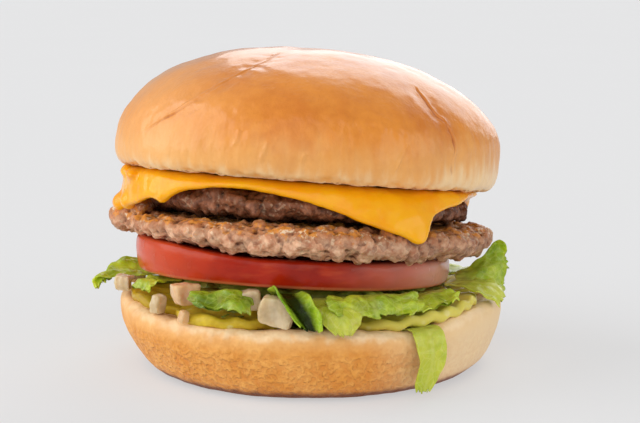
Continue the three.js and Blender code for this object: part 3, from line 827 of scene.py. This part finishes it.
# %% Finish: beef
def beef_finish(name, proud, flesh, deep, crust, top, char, gold_share, fat_share):
    """Beef, browned near its upper rim at the height top, and painted nearly black, as painted shade, more
    than the given depth below that.
    """
    where = new_finish(name)
    elsewhere = put("Mapping", {"Vector": where, "Location": (0.37, 0.11, 0.23)}).outputs[0]
    height = height_in_layer(where, STACK_TILT, top)
    grain_tone = put("TexVoronoi", {"Vector": where, "Scale": 1 / (2.2 * MM)}).outputs["Color"]
    tone = put("SeparateColor", {0: grain_tone}).outputs[0]
    patches = calc("ADD", clouds(where, 2.6, 4), between(height, -5, -1, -0.2, 0))
    glints = between(clouds(elsewhere, 1.1, 3), 0.54, 0.64)
    # The pale specks of fat are painted glints: painted highlights.
    fat = times(glints, between(clouds(elsewhere, 7, 1), 0.42, 0.6))
    colour = coated(
        mottled(where, 2.2, 0.7, flesh, proud),
        (deep, between(tone, 0.3, 0.95, 0, 0.4)),
        (crust, between(height, -5, -1, 0, 0.65)),
        ((228, 148, 54), between(patches, 0.47, 0.58, 0, gold_share)),
        # Painted highlights: glints of fat near the top edge.
        ((246, 222, 186), times(fat, between(height, -5, -1.5, 0.25, fat_share))),
        # Painted shade: darker towards the right.
        (deep, between(in_mm(where)[0], -8, 26, 0, 0.3)),
        # Painted shade: nearly black at the foot of the upper patty, in the gap over the lower one.
        ((20, 8, 4), between(height, -char - 1.5, -char + 1.5, 0.85, 0)),
        # Painted shade: darker in the hollows.
        (deep, between(attribute("hollow"), 0.46, 0.76)),
    )
    rough = calc("MULTIPLY_ADD", clouds(where, 2), 0.4, 0.25)
    normal = raised(clouds(where, 0.8, 4), 0.42)
    return surface(colour, rough, 0.3, (0.15, (1, 0.45, 0.3), 0.0012), Normal=normal)


# How far below its top a patty is painted nearly black, as painted shade: the lower one never, the upper one
# at the gap over the lower patty.
NEVER_CHARRED = 30
CHAR_DEPTH = UPPER_PATTY_TOP - LOWER_PATTY_TOP - 1.5
lower_beef = beef_finish("lower beef", (246, 200, 162), (196, 130, 92), (86, 40, 18), (186, 112, 54),
                         LOWER_PATTY_TOP, NEVER_CHARRED, 0.85, 0.85)
# The upper patty's colours are darker than the lower one's: painted shade under the cheese and crown.
upper_beef = beef_finish("upper beef", (176, 116, 82), (108, 60, 36), (24, 10, 5), (128, 76, 46),
                         UPPER_PATTY_TOP, CHAR_DEPTH, 0, 0.2)
hand_over(lower_patty, "lower_beef", "lower_patty", lower_beef)
hand_over(upper_patty, "upper_beef", "upper_patty", upper_beef)

# %% [markdown]
# ## The cheese
#
# Processed cheese melts without splitting: it sags over the patty's rim, hangs furthest at its four corners,
# and its edge turns into a thick round bead. A cloth simulation would fold it too sharply. Here a round
# sheet is bent by a table of how far it hangs, and drops of melt are fused on where it has gathered.

# %% Cheese: a table of its edge
# Each row: direction in degrees, flat reach, reach of the hanging edge past that, its drop, its last slope.
CHEESE_EDGE = np.array([
    (0, 46.5, 0.6, 0.8, 60), (15, 46, 2, 2, 60), (28, 45, 7, 8, 60), (42, 46, 2.6, 3, 70),
    (75, 46.5, 2.6, 2.4, 75), (104, 46, 4, 4.5, 70), (118, 45, 9, 11, 55), (132, 46, 4, 4.5, 70),
    (158, 46.8, 3, 2.6, 75), (172, 48.8, 3.4, 4, 85), (179, 50, 3, 7, 90), (184, 50.2, 3, 10, 90),
    (190, 50.2, 3, 11, 90), (196, 50, 3.2, 10.4, 90), (203, 49.8, 3.4, 9.6, 90), (209, 49, 3.8, 8.6, 90),
    (214, 48.6, 3.8, 6.9, 90), (217.5, 48.3, 3.8, 7, 90), (221, 48, 3.8, 7.6, 90),
    (224.5, 47.6, 3.7, 5.6, 90), (229, 47.2, 3.6, 3.7, 85), (236, 46.6, 3.4, 2.8, 80),
    (243, 46.2, 3.3, 2, 75), (250, 46, 3.2, 1.6, 75),
    (257, 46, 3.2, 2, 75), (263, 46, 3.2, 2.9, 76), (268, 46, 3.3, 3.8, 78), (276, 45.6, 3.8, 5.4, 75),
    (286, 45, 5.6, 8.4, 68), (295, 44, 8.2, 10.4, 60), (298.5, 43.7, 9, 11.1, 57), (302, 43.5, 11.2, 14, 54),
    (304.8, 43.8, 9.4, 11, 56), (307.6, 44.6, 6.4, 7.2, 62), (310.5, 45.4, 4.8, 5.3, 66),
    (314, 45.9, 3.7, 4.1, 68),
    (319, 46.4, 3, 3.3, 70), (325, 46.8, 2.3, 2.5, 68), (331, 46.8, 1.4, 1.1, 64), (338, 46.4, 0.7, 0.6, 60),
    (348, 45.6, 0.3, 0.4, 60),
])
ROUND = np.arange(0, 360, 0.5)


def edge_at(angle, column):
    """A column of the table at each angle, with its corners rounded over 4 degrees."""
    line = np.interp(ROUND, CHEESE_EDGE[:, 0], column, period=360)
    rounded = sum(np.roll(line, shift) for shift in range(-4, 5)) / 9
    return np.interp(np.degrees(angle), ROUND, rounded, period=360)


# %% Cheese: bend a round sheet by the table
CHEESE_RINGS = 44
FLAT_SHARE = 0.68

cheese = spun("melted_cheese", [(ring, 0) for ring in range(CHEESE_RINGS + 1)], 200)
x, y, _ = points_of(cheese).T
angle = np.arctan2(y, x)
share = np.hypot(x, y) / CHEESE_RINGS
flat_reach, out, drop, slope = [edge_at(angle, column) for column in CHEESE_EDGE.T[1:]]
last = np.radians(slope)
turn = last * smooth(share, FLAT_SHARE, 1.4) / smooth(1, FLAT_SHARE, 1.4)
reach = np.minimum(share / FLAT_SHARE, 1) * flat_reach + out * np.sin(turn) / np.sin(last)
down = drop * (1 - np.cos(turn)) / (1 - np.cos(last))
x = reach * np.cos(angle)
y = reach * np.sin(angle)
set_points(cheese, x, y, level(x, y, CROWN_BASE - 0.1 - CHEESE_THICKNESS / 2, CROWN_TILT) - down)
print("cheese hangs down in mm:", round(down.max(), 1))

# %% Cheese: thickness, drops of melt, one smooth skin
CHEESE_VOXEL = 0.55
DROPS = [
    ((-53.2, -8, 47.2), (3.1, 4.6, 3)),
    ((-50.6, -16, 48.8), (2.4, 4.4, 2.6)),
    ((-39.4, -34, 52.2), (1.8, 2, 2)),
    ((-51, -8, 56.2), (3, 6.5, 2)),
    ((-48.8, -18, 56.6), (2.6, 6, 1.8)),
]
modify(cheese, "SOLIDIFY", thickness=CHEESE_THICKNESS * MM, offset=0)
join(cheese, *[blob(*drop) for drop in DROPS])
fuse(cheese, CHEESE_VOXEL, 20)
lumpy(cheese, (10, 0.7), (4.5, 0.35))

# %% Finish: melted cheese
where = new_finish("melted cheese")
colour = mottled(where, 14, 4, (254, 180, 6), (248, 162, 2))
rough = calc("MULTIPLY_ADD", clouds(where, 6), 0.2, 0.1)
normal = raised(clouds(where, 3.5), 0.15)
cheese_melt = surface(colour, rough, 0.35, (0.3, (1, 0.5, 0.1), 0.002), Normal=normal)
hand_over(cheese, "cheese", "cheese_slice", cheese_melt)

# %% [markdown]
# ## The tomato
#
# A thick slice of beef tomato shows its skin, a smooth wet band that bulges a little, with a fine pale line
# where the knife went through. Its left end and its front right are painted lighter, as painted highlights.
# It is spun, leaned, and made thicker at its left end, as it was cut askew.

# %% Tomato: spin and lean
TOMATO_CENTRE = (-5, -3)
tomato_corners = [(0, 0), (18, 0), (34, 0), (42.6, 0), (44.2, 0.15), (44.8, 0.9), (45.3, 3.2), (45.5, 5.2),
                  (45.2, 7), (44.4, 7.6)] + [(radius, TOMATO_THICKNESS) for radius in (42.4, 34, 18, 0)]
tomato = spun("tomato", tomato_corners, 48)
refine(tomato, 2)
x, y, height = points_of(tomato).T
swell = 1 + 0.012 * ripple(np.arctan2(y, x), 5.2)
x = TOMATO_CENTRE[0] + x * swell
y = TOMATO_CENTRE[1] + y * swell
thicker = height / TOMATO_THICKNESS * 2.6 * smooth(-x, 12, 48)
set_points(tomato, x, y, height + thicker + level(x, y, TOMATO_BOTTOM, STACK_TILT))
lumpy(tomato, (16, 0.5))

# %% Finish: tomato
where = new_finish("tomato")
height = height_in_layer(where, STACK_TILT, TOMATO_BOTTOM)
rightward, backward, _ = in_mm(where)
streaks = clouds(where, 9, 3, stretch=(1, 1, 0.25))
# The painted highlights on the right are kept to the front.
at_front = between(backward, -14, 4, 1, 0.1)
colour = coated(
    mottled(where, 15, 5, (180, 38, 8), (142, 24, 5)),
    ((208, 82, 36), between(streaks, 0.5, 0.75, 0, 0.35)),
    # Painted highlights: a pale pink sheen on the front right, and a paler spot near its end.
    ((212, 136, 112), times(between(rightward, 2, 32, 0, 0.6), at_front)),
    ((236, 194, 168), times(between(rightward, 24, 40, 0, 0.5), at_front)),
    # Painted highlight: the left end is painted a lighter orange.
    ((222, 88, 36), between(rightward, -48, -18, 0.6, 0)),
    ((214, 120, 78), between(height, 0.5, 1.3, 0.75, 0)),
)
rough = calc("MULTIPLY_ADD", clouds(where, 5), 0.2, 0.14)
normal = raised(clouds(where, 2.5, 3), 0.14)
tomato_skin = surface(colour, rough, 0.25, (0.15, (1, 0.25, 0.12), 0.002), Normal=normal)
hand_over(tomato, "tomato", "tomato_slice", tomato_skin)

# %% [markdown]
# ## Pickles
#
# Crinkle-cut gherkin slices are discs of translucent flesh with a few pale seeds. Each is spun, and a wave
# is then added across it, as the blade does it. The slices droop over the dished heel.

# %% Pickles: how the heel carries them
def dish(x, y):
    """The height of the heel's dish over x and y, in mm, as far out as the rim."""
    radius = np.hypot(x, y)
    sunk = np.interp(radius, [20, 38, 44.5, 49, 52.2], [3.9, 2.9, 1.5, 0.6, 0])
    outward = smooth(radius, *DISH_SIDE)
    return heel_rim(x, y) * outward + HEEL_HEIGHT * (1 - outward) - sunk


# Each row: place, radius, length, height, lean, turn in degrees, thickness, depth of the crinkle.
PICKLES = [
    ((-19.6, -31.4), 17, 17, 19.3, (-0.07, -0.1), 20, 3.2, 0.35),
    ((-34.8, -12.7), 16, 16, 19.9, (-0.11, -0.04), 75, 3.2, 0.45),
    ((25.2, -27), 17, 24, 19.4, (0.04, 0), 43, 3.2, 0.5),
    ((34, 3), 15.5, 15.5, 18.1, (0.1, 0), -60, 3.2, 0.7),
    ((12, 25.5), 15.2, 15.2, 17, (0, 0), 10, 2.2, 0.7),
    ((-24.5, 16.5), 15.2, 15.2, 17.2, (-0.05, 0), 40, 2.6, 0.7),
]
CRINKLE_PITCH = 6.4


# %% Pickles: spin, crinkle and place
def pickle_slice(name, at, radius, length, height, lean, turn, thickness, crinkle):
    """A crinkled slice. Its outer part sags onto the heel's rim, or is bent up where that is higher."""
    half = [(0, 0), (radius * 0.3, 0), (radius * 0.6, 0), (radius - 2.5, 0), (radius - 0.9, 0.05),
            (radius - 0.2, 0.25)]
    corners = half + [(radius, 0.5)] + [(r, 1 - share) for r, share in half[::-1]]
    piece = spun(name, through([(r, thickness * share) for r, share in corners], 2), 56)
    refine(piece, 1)
    x, y, z = points_of(piece).T
    x = x * length / radius
    wave = crinkle * np.sin(math.tau * x / CRINKLE_PITCH)
    c, s = math.cos(math.radians(turn)), math.sin(math.radians(turn))
    x, y = x * c - y * s, x * s + y * c
    underside = height + lean[0] * x + lean[1] * y
    x += at[0]
    y += at[1]
    direction = np.arctan2(y, x)
    room = crinkle * 0.6 + 1.2 * bell(direction, 304, 10)
    sag = np.clip(dish(x, y) + room - underside, -2.6, 1.6 * bell(direction, 325, 20))
    set_points(piece, x, y, underside + z + wave + sag * smooth(np.hypot(x, y), 36, 46))
    lumpy(piece, (5, 0.5))
    return piece


# %% Finish: pickle
where = new_finish("pickle")
rightward = in_mm(where)[0]
dots = put("TexVoronoi", {"Vector": where, "Scale": 1 / (3 * MM)}).outputs
chance = put("SeparateColor", {0: dots["Color"]}).outputs[0]
colour = coated(
    mottled(where, 6, 1.5, (226, 196, 62), (194, 162, 36)),
    # Painted light: paler towards the right, where the crinkled slices catch the light.
    ((220, 210, 104), between(rightward, 0, 26, 0, 0.75)),
    ((170, 134, 22), between(rightward, -50, -28, 0.7, 0)),
    ((232, 220, 160), times(calc("LESS_THAN", chance, 0.12), between(dots["Distance"], 0.2, 0.42, 0.5, 0))),
)
normal = raised(clouds(where, 1.6, 3), 0.18)
pickle_flesh = surface(colour, 0.28, 0.2, (0.6, (1, 0.9, 0.25), 0.004), Normal=normal)
for number, pickle in enumerate(PICKLES, 1):
    hand_over(pickle_slice(f"pickle_{number}", *pickle), "pickle", f"pickle_slice_{number}", pickle_flesh)

# %% [markdown]
# ## Onion dice
#
# Onion is cut in rough blocks. The CAD blocks have that form, so they are copied, remeshed to fine even
# faces and smoothed, which rounds their corners as wear does in a tub.

# %% Finish: onion
where = new_finish("onion")
fibres = clouds(where, 2.4, 2, stretch=(1, 1, 3))
aside = calc("ABSOLUTE", calc("ADD", in_mm(where)[0], 32))
colour = coated(
    mottled(where, 4, 1.2, (216, 192, 152), (186, 160, 118)),
    ((236, 220, 190), between(fibres, 0.45, 0.7, 0, 0.4)),
    ((228, 174, 124), between(aside, 3, 8, 0.55, 0)),
)
onion_flesh = surface(colour, 0.22, 0.4, (0.7, (1, 0.85, 0.6), 0.004), Normal=raised(fibres, 0.1))

# %% Onion: round the blocks
ONION_DICE = 11
ONION_VOXEL = 0.32
for number in range(1, ONION_DICE + 1):
    die = copy_of(f"onion_die_{number}", f"onion_{number}")
    fuse(die, ONION_VOXEL, 12)
    lumpy(die, (4, 1.1), (1.6, 0.25))
    hand_over(die, "onion", f"onion_die_{number}", onion_flesh)


# %% [markdown]
# ## Lettuce
#
# A leaf is a thin sheet that runs out from under the tomato, over the rim and down. It widens, ruffles
# towards its edges and blisters between its veins. Each leaf is a grid bent along a path, so its UV map
# runs from stalk to tip. Cloth simulation would need minutes for the same look.

# %% Leaf: bend a grid along a path
LEAF_THICKNESS = 0.55


def leaf_along(name, path, across, widths, ruffle=1, waves=2, cup=0, seed=1, frill=0.6, blister=0.6,
               grid=(36, 24)):
    """A leaf whose middle follows the path. Its width runs along the across directions."""
    fineness = {"x_subdivisions": grid[0], "y_subdivisions": grid[1]}
    piece = added(name, bpy.ops.mesh.primitive_grid_add, size=1, **fineness)
    u, v = points_of(piece)[:, :2].T * MM + 0.5
    torn_u = u * (1 + 0.05 * np.sin(9 * v + 3 * seed) * u + 0.008 * np.sin(31 * v + seed) * u)
    line = through(path, 24)
    tangent = along(line, torn_u + 0.01) - along(line, torn_u - 0.01)
    side = unit(along(across, u))
    width = along(np.transpose([widths]), u)[:, 0]
    shift = v - 0.5
    margin = np.abs(2 * shift) ** 3
    half = 2 * np.sign(shift)
    ragged = 1 + margin * (0.06 * np.sin(13 * u + 4 * seed + half) + 0.01 * np.sin(37 * u + seed))
    upward = unit(np.cross(unit(tangent), side))
    wave = 0.6 * np.sin(math.tau * waves * v + seed) + 0.5 * np.sin(math.tau * (1.5 * u + 0.6 * v) + 2 * seed)
    rise = ruffle * wave * smooth(u, 0.12, 0.6) - cup * 4 * shift ** 2 * smooth(u, 0.05, 0.6)
    rise += frill * margin * np.sin(math.tau * 4 * u + seed + half) * smooth(u, 0.1, 0.5)
    rise += frill * u ** 4 * np.sin(math.tau * 3.2 * v + 3 * seed)
    points = along(line, torn_u) + (shift * width * ragged)[:, None] * side + rise[:, None] * upward
    set_points(piece, *points.T)
    modify(piece, "SOLIDIFY", thickness=LEAF_THICKNESS * MM, offset=0)
    refine(piece, 1)
    lumpy(piece, (3.2, blister))
    return piece


# %% Leaf: the forms of the front ones
# Each one: path, directions across it, widths along it, and what differs from a plain leaf.
LEAVES = {
    "leaf_left": (
        [(-40, 0, 25.9), (-46.6, -0.5, 26.2), (-52.4, -1, 27), (-57, -2.5, 26.9), (-60, -5, 25.8),
         (-59, -8.5, 23.2)],
        [(0, 1, 0), (0, 1, 0.3), (0.3, 1, 0.35), (0.7, 0.7, 0.3)],
        [7, 9, 11, 12, 10, 5], dict(ruffle=0.6, cup=1, seed=2, frill=0.4)),
    "leaf_right": (
        [(41, -10, 26), (45.5, -10, 26.6), (50, -8.5, 27.8), (54, -6.5, 29.2), (56.6, -5.5, 27.4)],
        [(0, 1, 0.1), (0, 1, 0.3), (0, 0.6, 0.9), (0, 0.3, 1), (0, 0.3, 1)],
        [7, 9, 11, 13.5, 9], dict(ruffle=1.3, waves=1.4, seed=4)),
    "leaf_hanging": (
        [(26.6, -40.2, 17.7), (29.2, -43.6, 18.7), (31, -46.5, 17.9), (32, -47.4, 14), (31.8, -47.1, 9.5),
         (30.6, -46.8, 5), (29.7, -47, 1.2)],
        [(0.88, 0.45, 0.05), (0.88, 0.45, 0), (0.9, 0.4, 0)],
        [7, 8.5, 9.4, 8.8, 7.8, 6.8, 3.2], dict(ruffle=0.15, waves=1, seed=1, frill=0.12, blister=0.3)),
    "leaf_ruffle": (
        [(15, -38, 26), (15.6, -43.5, 27), (16.2, -48.5, 27.6), (16.9, -51.5, 25.9), (17.6, -52.3, 23.2)],
        [(1, 0.12, 0), (1, 0.2, 0)],
        [20, 23, 25, 25, 20], dict(ruffle=0.75, waves=3.5, seed=0.5, blister=1.4, grid=(28, 48))),
    "leaf_tongue": (
        [(4.6, -40.5, 25.6), (5.6, -46, 26.8), (7.4, -52.3, 25.8), (8.6, -55.8, 22.4), (9.2, -56.8, 19)],
        [(1, 0, 0), (1, 0.15, 0)],
        [7, 10, 12.5, 10, 3], dict(ruffle=0.3, waves=1, cup=0.8, seed=3, frill=0.3)),
    "leaf_curl": (
        [(-6, -42, 26.6), (-6.8, -48, 28.4), (-5.2, -52.4, 27.6), (-2.2, -55.8, 24), (0.4, -57.2, 20)],
        [(1, 0, 0), (1, 0.1, -0.25), (1, 0.1, -0.25)],
        [5, 8.5, 9.5, 9, 6], dict(ruffle=0.3, waves=1, cup=-3.6, seed=5, frill=0.2)),
    "leaf_small": (
        [(-24, -41.6, 27.6), (-23.6, -45.6, 28.8), (-23.2, -49.8, 27.6), (-22.4, -52.2, 24.8)],
        [(1, -0.2, 0.1), (1, -0.1, 0), (1, -0.2, -0.1)],
        [10, 15, 18, 13], dict(ruffle=1.5, waves=1.3, cup=1.4, seed=1.5, frill=0.3, blister=1.1)),
    "leaf_left_fold": (
        [(-37, -21, 27.6), (-41.6, -24, 28.1), (-45.2, -26.6, 27.6), (-46.8, -28, 25.6)],
        [(0.5, -0.85, 0), (0.5, -0.85, 0.1)],
        [6, 9, 11, 8], dict(ruffle=0.7, waves=1, seed=6, frill=0.4)),
    "leaf_right_pale": (
        [(38.5, -14, 25.1), (43, -16, 25.5), (47.5, -17.5, 25.4), (51.6, -18.5, 23.9), (54.2, -19, 20.9)],
        [(0.3, 1, 0), (0.3, 1, 0.1), (0.3, 1, 0.35)],
        [7, 10, 13, 12, 8], dict(ruffle=0.5, waves=1.5, cup=0.6, seed=2.6, frill=0.4)),
    "leaf_right_inner": (
        [(29, -29, 24.7), (31, -33.5, 25.5), (33, -38, 25.2), (34.4, -41.2, 23.6)],
        [(0.9, 0.4, 0.08), (0.85, 0.5, 0.08)],
        [12, 15, 16, 13], dict(ruffle=0.6, waves=2.2, seed=0.9)),
}


# %% Leaf: repeat them round the back
def seeded_draw(seed):
    """The same repeatable draw, from 0 to 1, that laid out the CAD leaves."""
    while True:
        seed = seed * 16807 % 2147483647
        yield seed / 2147483647


def back_leaf(degrees, draw):
    """A leaf that runs out over the rim at an angle."""
    angle = math.radians(degrees)
    c, s = math.cos(angle), math.sin(angle)
    reach = 57 + 2.5 * next(draw)
    drop = 1.5 + 3.5 * next(draw)

    def at(radius, lift):
        """A place that far out and that high over what the leaf lies on."""
        x, y = radius * c, radius * s
        under_tomato = level(x, y, TOMATO_BOTTOM, STACK_TILT) - 1.1
        return (x, y, lift + max(under_tomato, HEEL_HEIGHT + rim_lift(angle) + 1.2))

    widths = [9, 11 + 4 * next(draw), 13 + 6 * next(draw), 12 + 5 * next(draw), 7]
    path = [at(40, -0.4), at(46, 0.2), at(52, 1), at(reach - 1, 0.4), at(reach, -drop)]
    return path, [(-s, c, 0), (-s, c, 0.1)], widths, dict(ruffle=0.55, waves=2.5, seed=degrees)


BACK_LEAF_ANGLES = [12, 38, 64, 91, 117, 146, 166]
draw = seeded_draw(41)
for number, degrees in enumerate(BACK_LEAF_ANGLES, 1):
    LEAVES[f"leaf_back_{number}"] = back_leaf(degrees, draw)
print("leaves:", len(LEAVES))


# %% [markdown]
# ## Leaf colours
#
# A fresh leaf is a mottled green, paler along its rib, its veins, the fine net between them and its stalk.
# The UV map places them. The mottle's dark patches are partly the leaf's own tone and partly painted shade.
# The small leaf is a deeper green, and the curled one is painted dark inside its roll, as painted shade.

# %% Finish: lettuce
def lettuce_finish(name, blade, shade, rib, rib_width, rib_amount=0.2, heart=0, gloss=0.45):
    """A veined leaf, whose middle can be painted dark, as painted shade inside a rolled leaf."""
    where = new_finish(name)
    split = put("SeparateXYZ", {0: put("UVMap").outputs[0]}).outputs
    from_rib = calc("ABSOLUTE", calc("SUBTRACT", split[1], 0.5))
    slant = calc("SUBTRACT", times(split[0], 9), times(from_rib, 7))
    side_veins = between(calc("PINGPONG", slant, 0.5), 0, 0.08, 0.2, 0)
    veins = calc("MAXIMUM", side_veins, between(from_rib, 0, rib_width, rib_amount, 0))
    net = between(cells(where, 2.6, "DISTANCE_TO_EDGE"), 0, 0.08, 0.22, 0)
    lines = calc("MAXIMUM", veins, calc("MAXIMUM", net, between(split[0], 0, 0.5, 0.4, 0)))
    # The mottle's dark patches are partly the leaf's own tone and partly painted shade.
    leaf = mottled(where, 9, 2, blade, shade)
    # Painted shade: the middle of a rolled leaf is painted dark.
    colour = coated(leaf, (rib, lines), ((34, 44, 3), between(from_rib, 0.2, 0.44, heart, 0)))
    blisters = raised(between(cells(where, 3.2), 0, 0.7), -0.35)
    normal = raised(clouds(where, 1.2, 3), 0.1, raised(veins, 0.2, blisters))
    return surface(colour, 0.24, gloss, (0.4, (0.7, 1, 0.2), 0.003), Normal=normal)


green_lettuce = lettuce_finish("green lettuce", (196, 212, 56), (130, 154, 24), (218, 226, 124), 0.05)
dark_lettuce = lettuce_finish("dark lettuce", (160, 182, 36), (84, 110, 8), (206, 216, 108), 0.05)
pale_lettuce = lettuce_finish("pale lettuce", (200, 206, 66), (166, 180, 36), (224, 226, 140), 0.1)
curled_lettuce = lettuce_finish("curled lettuce", (176, 204, 50), (100, 134, 16), (214, 226, 120), 0.02,
                                rib_amount=0, heart=1, gloss=0.15)

# %% Leaf: make them all
LEAF_FINISHES = {"leaf_curl": curled_lettuce, "leaf_small": dark_lettuce}
LEAF_FINISHES.update(dict.fromkeys(("leaf_hanging", "leaf_right_pale", "leaf_tongue"), pale_lettuce))
for name, (path, across, widths, rest) in LEAVES.items():
    piece = leaf_along(f"lettuce_{name[5:]}", path, across, widths, **rest)
    finish = LEAF_FINISHES.get(name, green_lettuce)
    hand_over(piece, "pale_lettuce" if finish == pale_lettuce else "lettuce", name, finish)

# %% [markdown]
# ## The shredded bed
#
# Only the edge of the loose bed under the tomato shows, in the gaps between the pieces, so it is a core
# with strips laid over its outline. A strip is a narrow grid with a fold down its length.

# %% Bed: strips over a core
STRIPS = 150
rng = np.random.default_rng(5)
strip = added("strip", bpy.ops.mesh.primitive_grid_add, x_subdivisions=10, y_subdivisions=3, size=MM)
x, y, _ = points_of(strip).T
set_points(strip, x, y + 0.25 * np.sin(5 * x + 1), 0.5 * np.sin(6 * x) + 0.9 * np.abs(y))
modify(strip, "SOLIDIFY", thickness=0.16 * MM, offset=0)
bed = copy_of("lettuce_bed", "lettuce_shreds")
modify(bed, "DISPLACE", strength=-0.6 * MM, mid_level=0)
angle = rng.uniform(0, math.tau, STRIPS)
radius = rng.uniform(27, 37, STRIPS)
x = radius * np.cos(angle)
y = radius * np.sin(angle)
z = rng.uniform(HEEL_FLOOR + 2.5, level(x, y, TOMATO_BOTTOM, STACK_TILT) - 1.5)
scales = np.column_stack([rng.uniform(low, high, STRIPS) for low, high in ((12, 22), (3, 5), (2, 3.5))])
heading = rng.uniform(0, math.tau, STRIPS)
c, s, o, one = np.cos(heading), np.sin(heading), np.zeros(STRIPS), np.ones(STRIPS)
turns = np.array([[c, -s, o], [s, c, o], [o, o, one]]).transpose(2, 0, 1)
join(bed, scattered("shreds", strip, np.column_stack([x, y, z]), scales, turns))
bpy.data.objects.remove(strip)

# %% Finish: shreds
where = new_finish("shredded lettuce")
colour = mottled(where, 8, 2, (176, 182, 78), (120, 136, 34))
normal = raised(clouds(where, 1.5), 0.2)
shredded_lettuce = surface(colour, 0.4, juice=(0.3, (0.6, 1, 0.2), 0.0015), Normal=normal)
hand_over(bed, "lettuce", "lettuce_bed", shredded_lettuce)

# %% [markdown]
# ## Floor and light
#
# The floor is one plain pale tone. Lamps close to the burger would leave a bright pool round it, so the
# light comes from suns with a very wide disc, which act as softboxes far away: one at the back, whose
# reflection lies on the crown's shoulder, a strong one at the left, and weaker ones at the right and front.

# %% Floor
floor = added("floor", bpy.ops.mesh.primitive_plane_add, size=120, location=(0, 0, -0.0002))
where = new_finish("pale floor")
floor_colour = tint(clouds(where, 400), (150, 150, 151), (152, 152, 153))
pale_floor = surface(floor_colour, 0.9, 0, Emission_Color=(1, 1, 1, 1), Emission_Strength=0.49)
floor.data.materials.append(pale_floor)

# %% Soft suns and surroundings
# Each row: name, direction, width in degrees of sky, strength.
SUNS = [
    ("back", (0.3, 0.85, 0.45), 52, 0.95),
    ("left", (-0.95, -0.1, 0.44), 64, 1.9),
    ("right", (0.9, -0.4, 0.15), 50, 0.8),
    ("front", (-0.1, -1, 0.6), 60, 0.8),
]
for name, direction, width, strength in SUNS:
    place = Vector(direction)
    bpy.ops.object.light_add(type="SUN", location=place, rotation=facing(place, Vector()))
    lamp = bpy.context.object
    lamp.name = name
    lamp.data.angle = math.radians(width)
    lamp.data.energy = strength
world = bpy.data.worlds.new("studio")
bpy.context.scene.world = world
world.use_nodes = True
backdrop = world.node_tree.nodes["Background"]
backdrop.inputs["Color"].default_value = (0.97, 0.98, 1, 1)
backdrop.inputs["Strength"].default_value = 0.4
bpy.context.scene.view_settings.view_transform = "Standard"
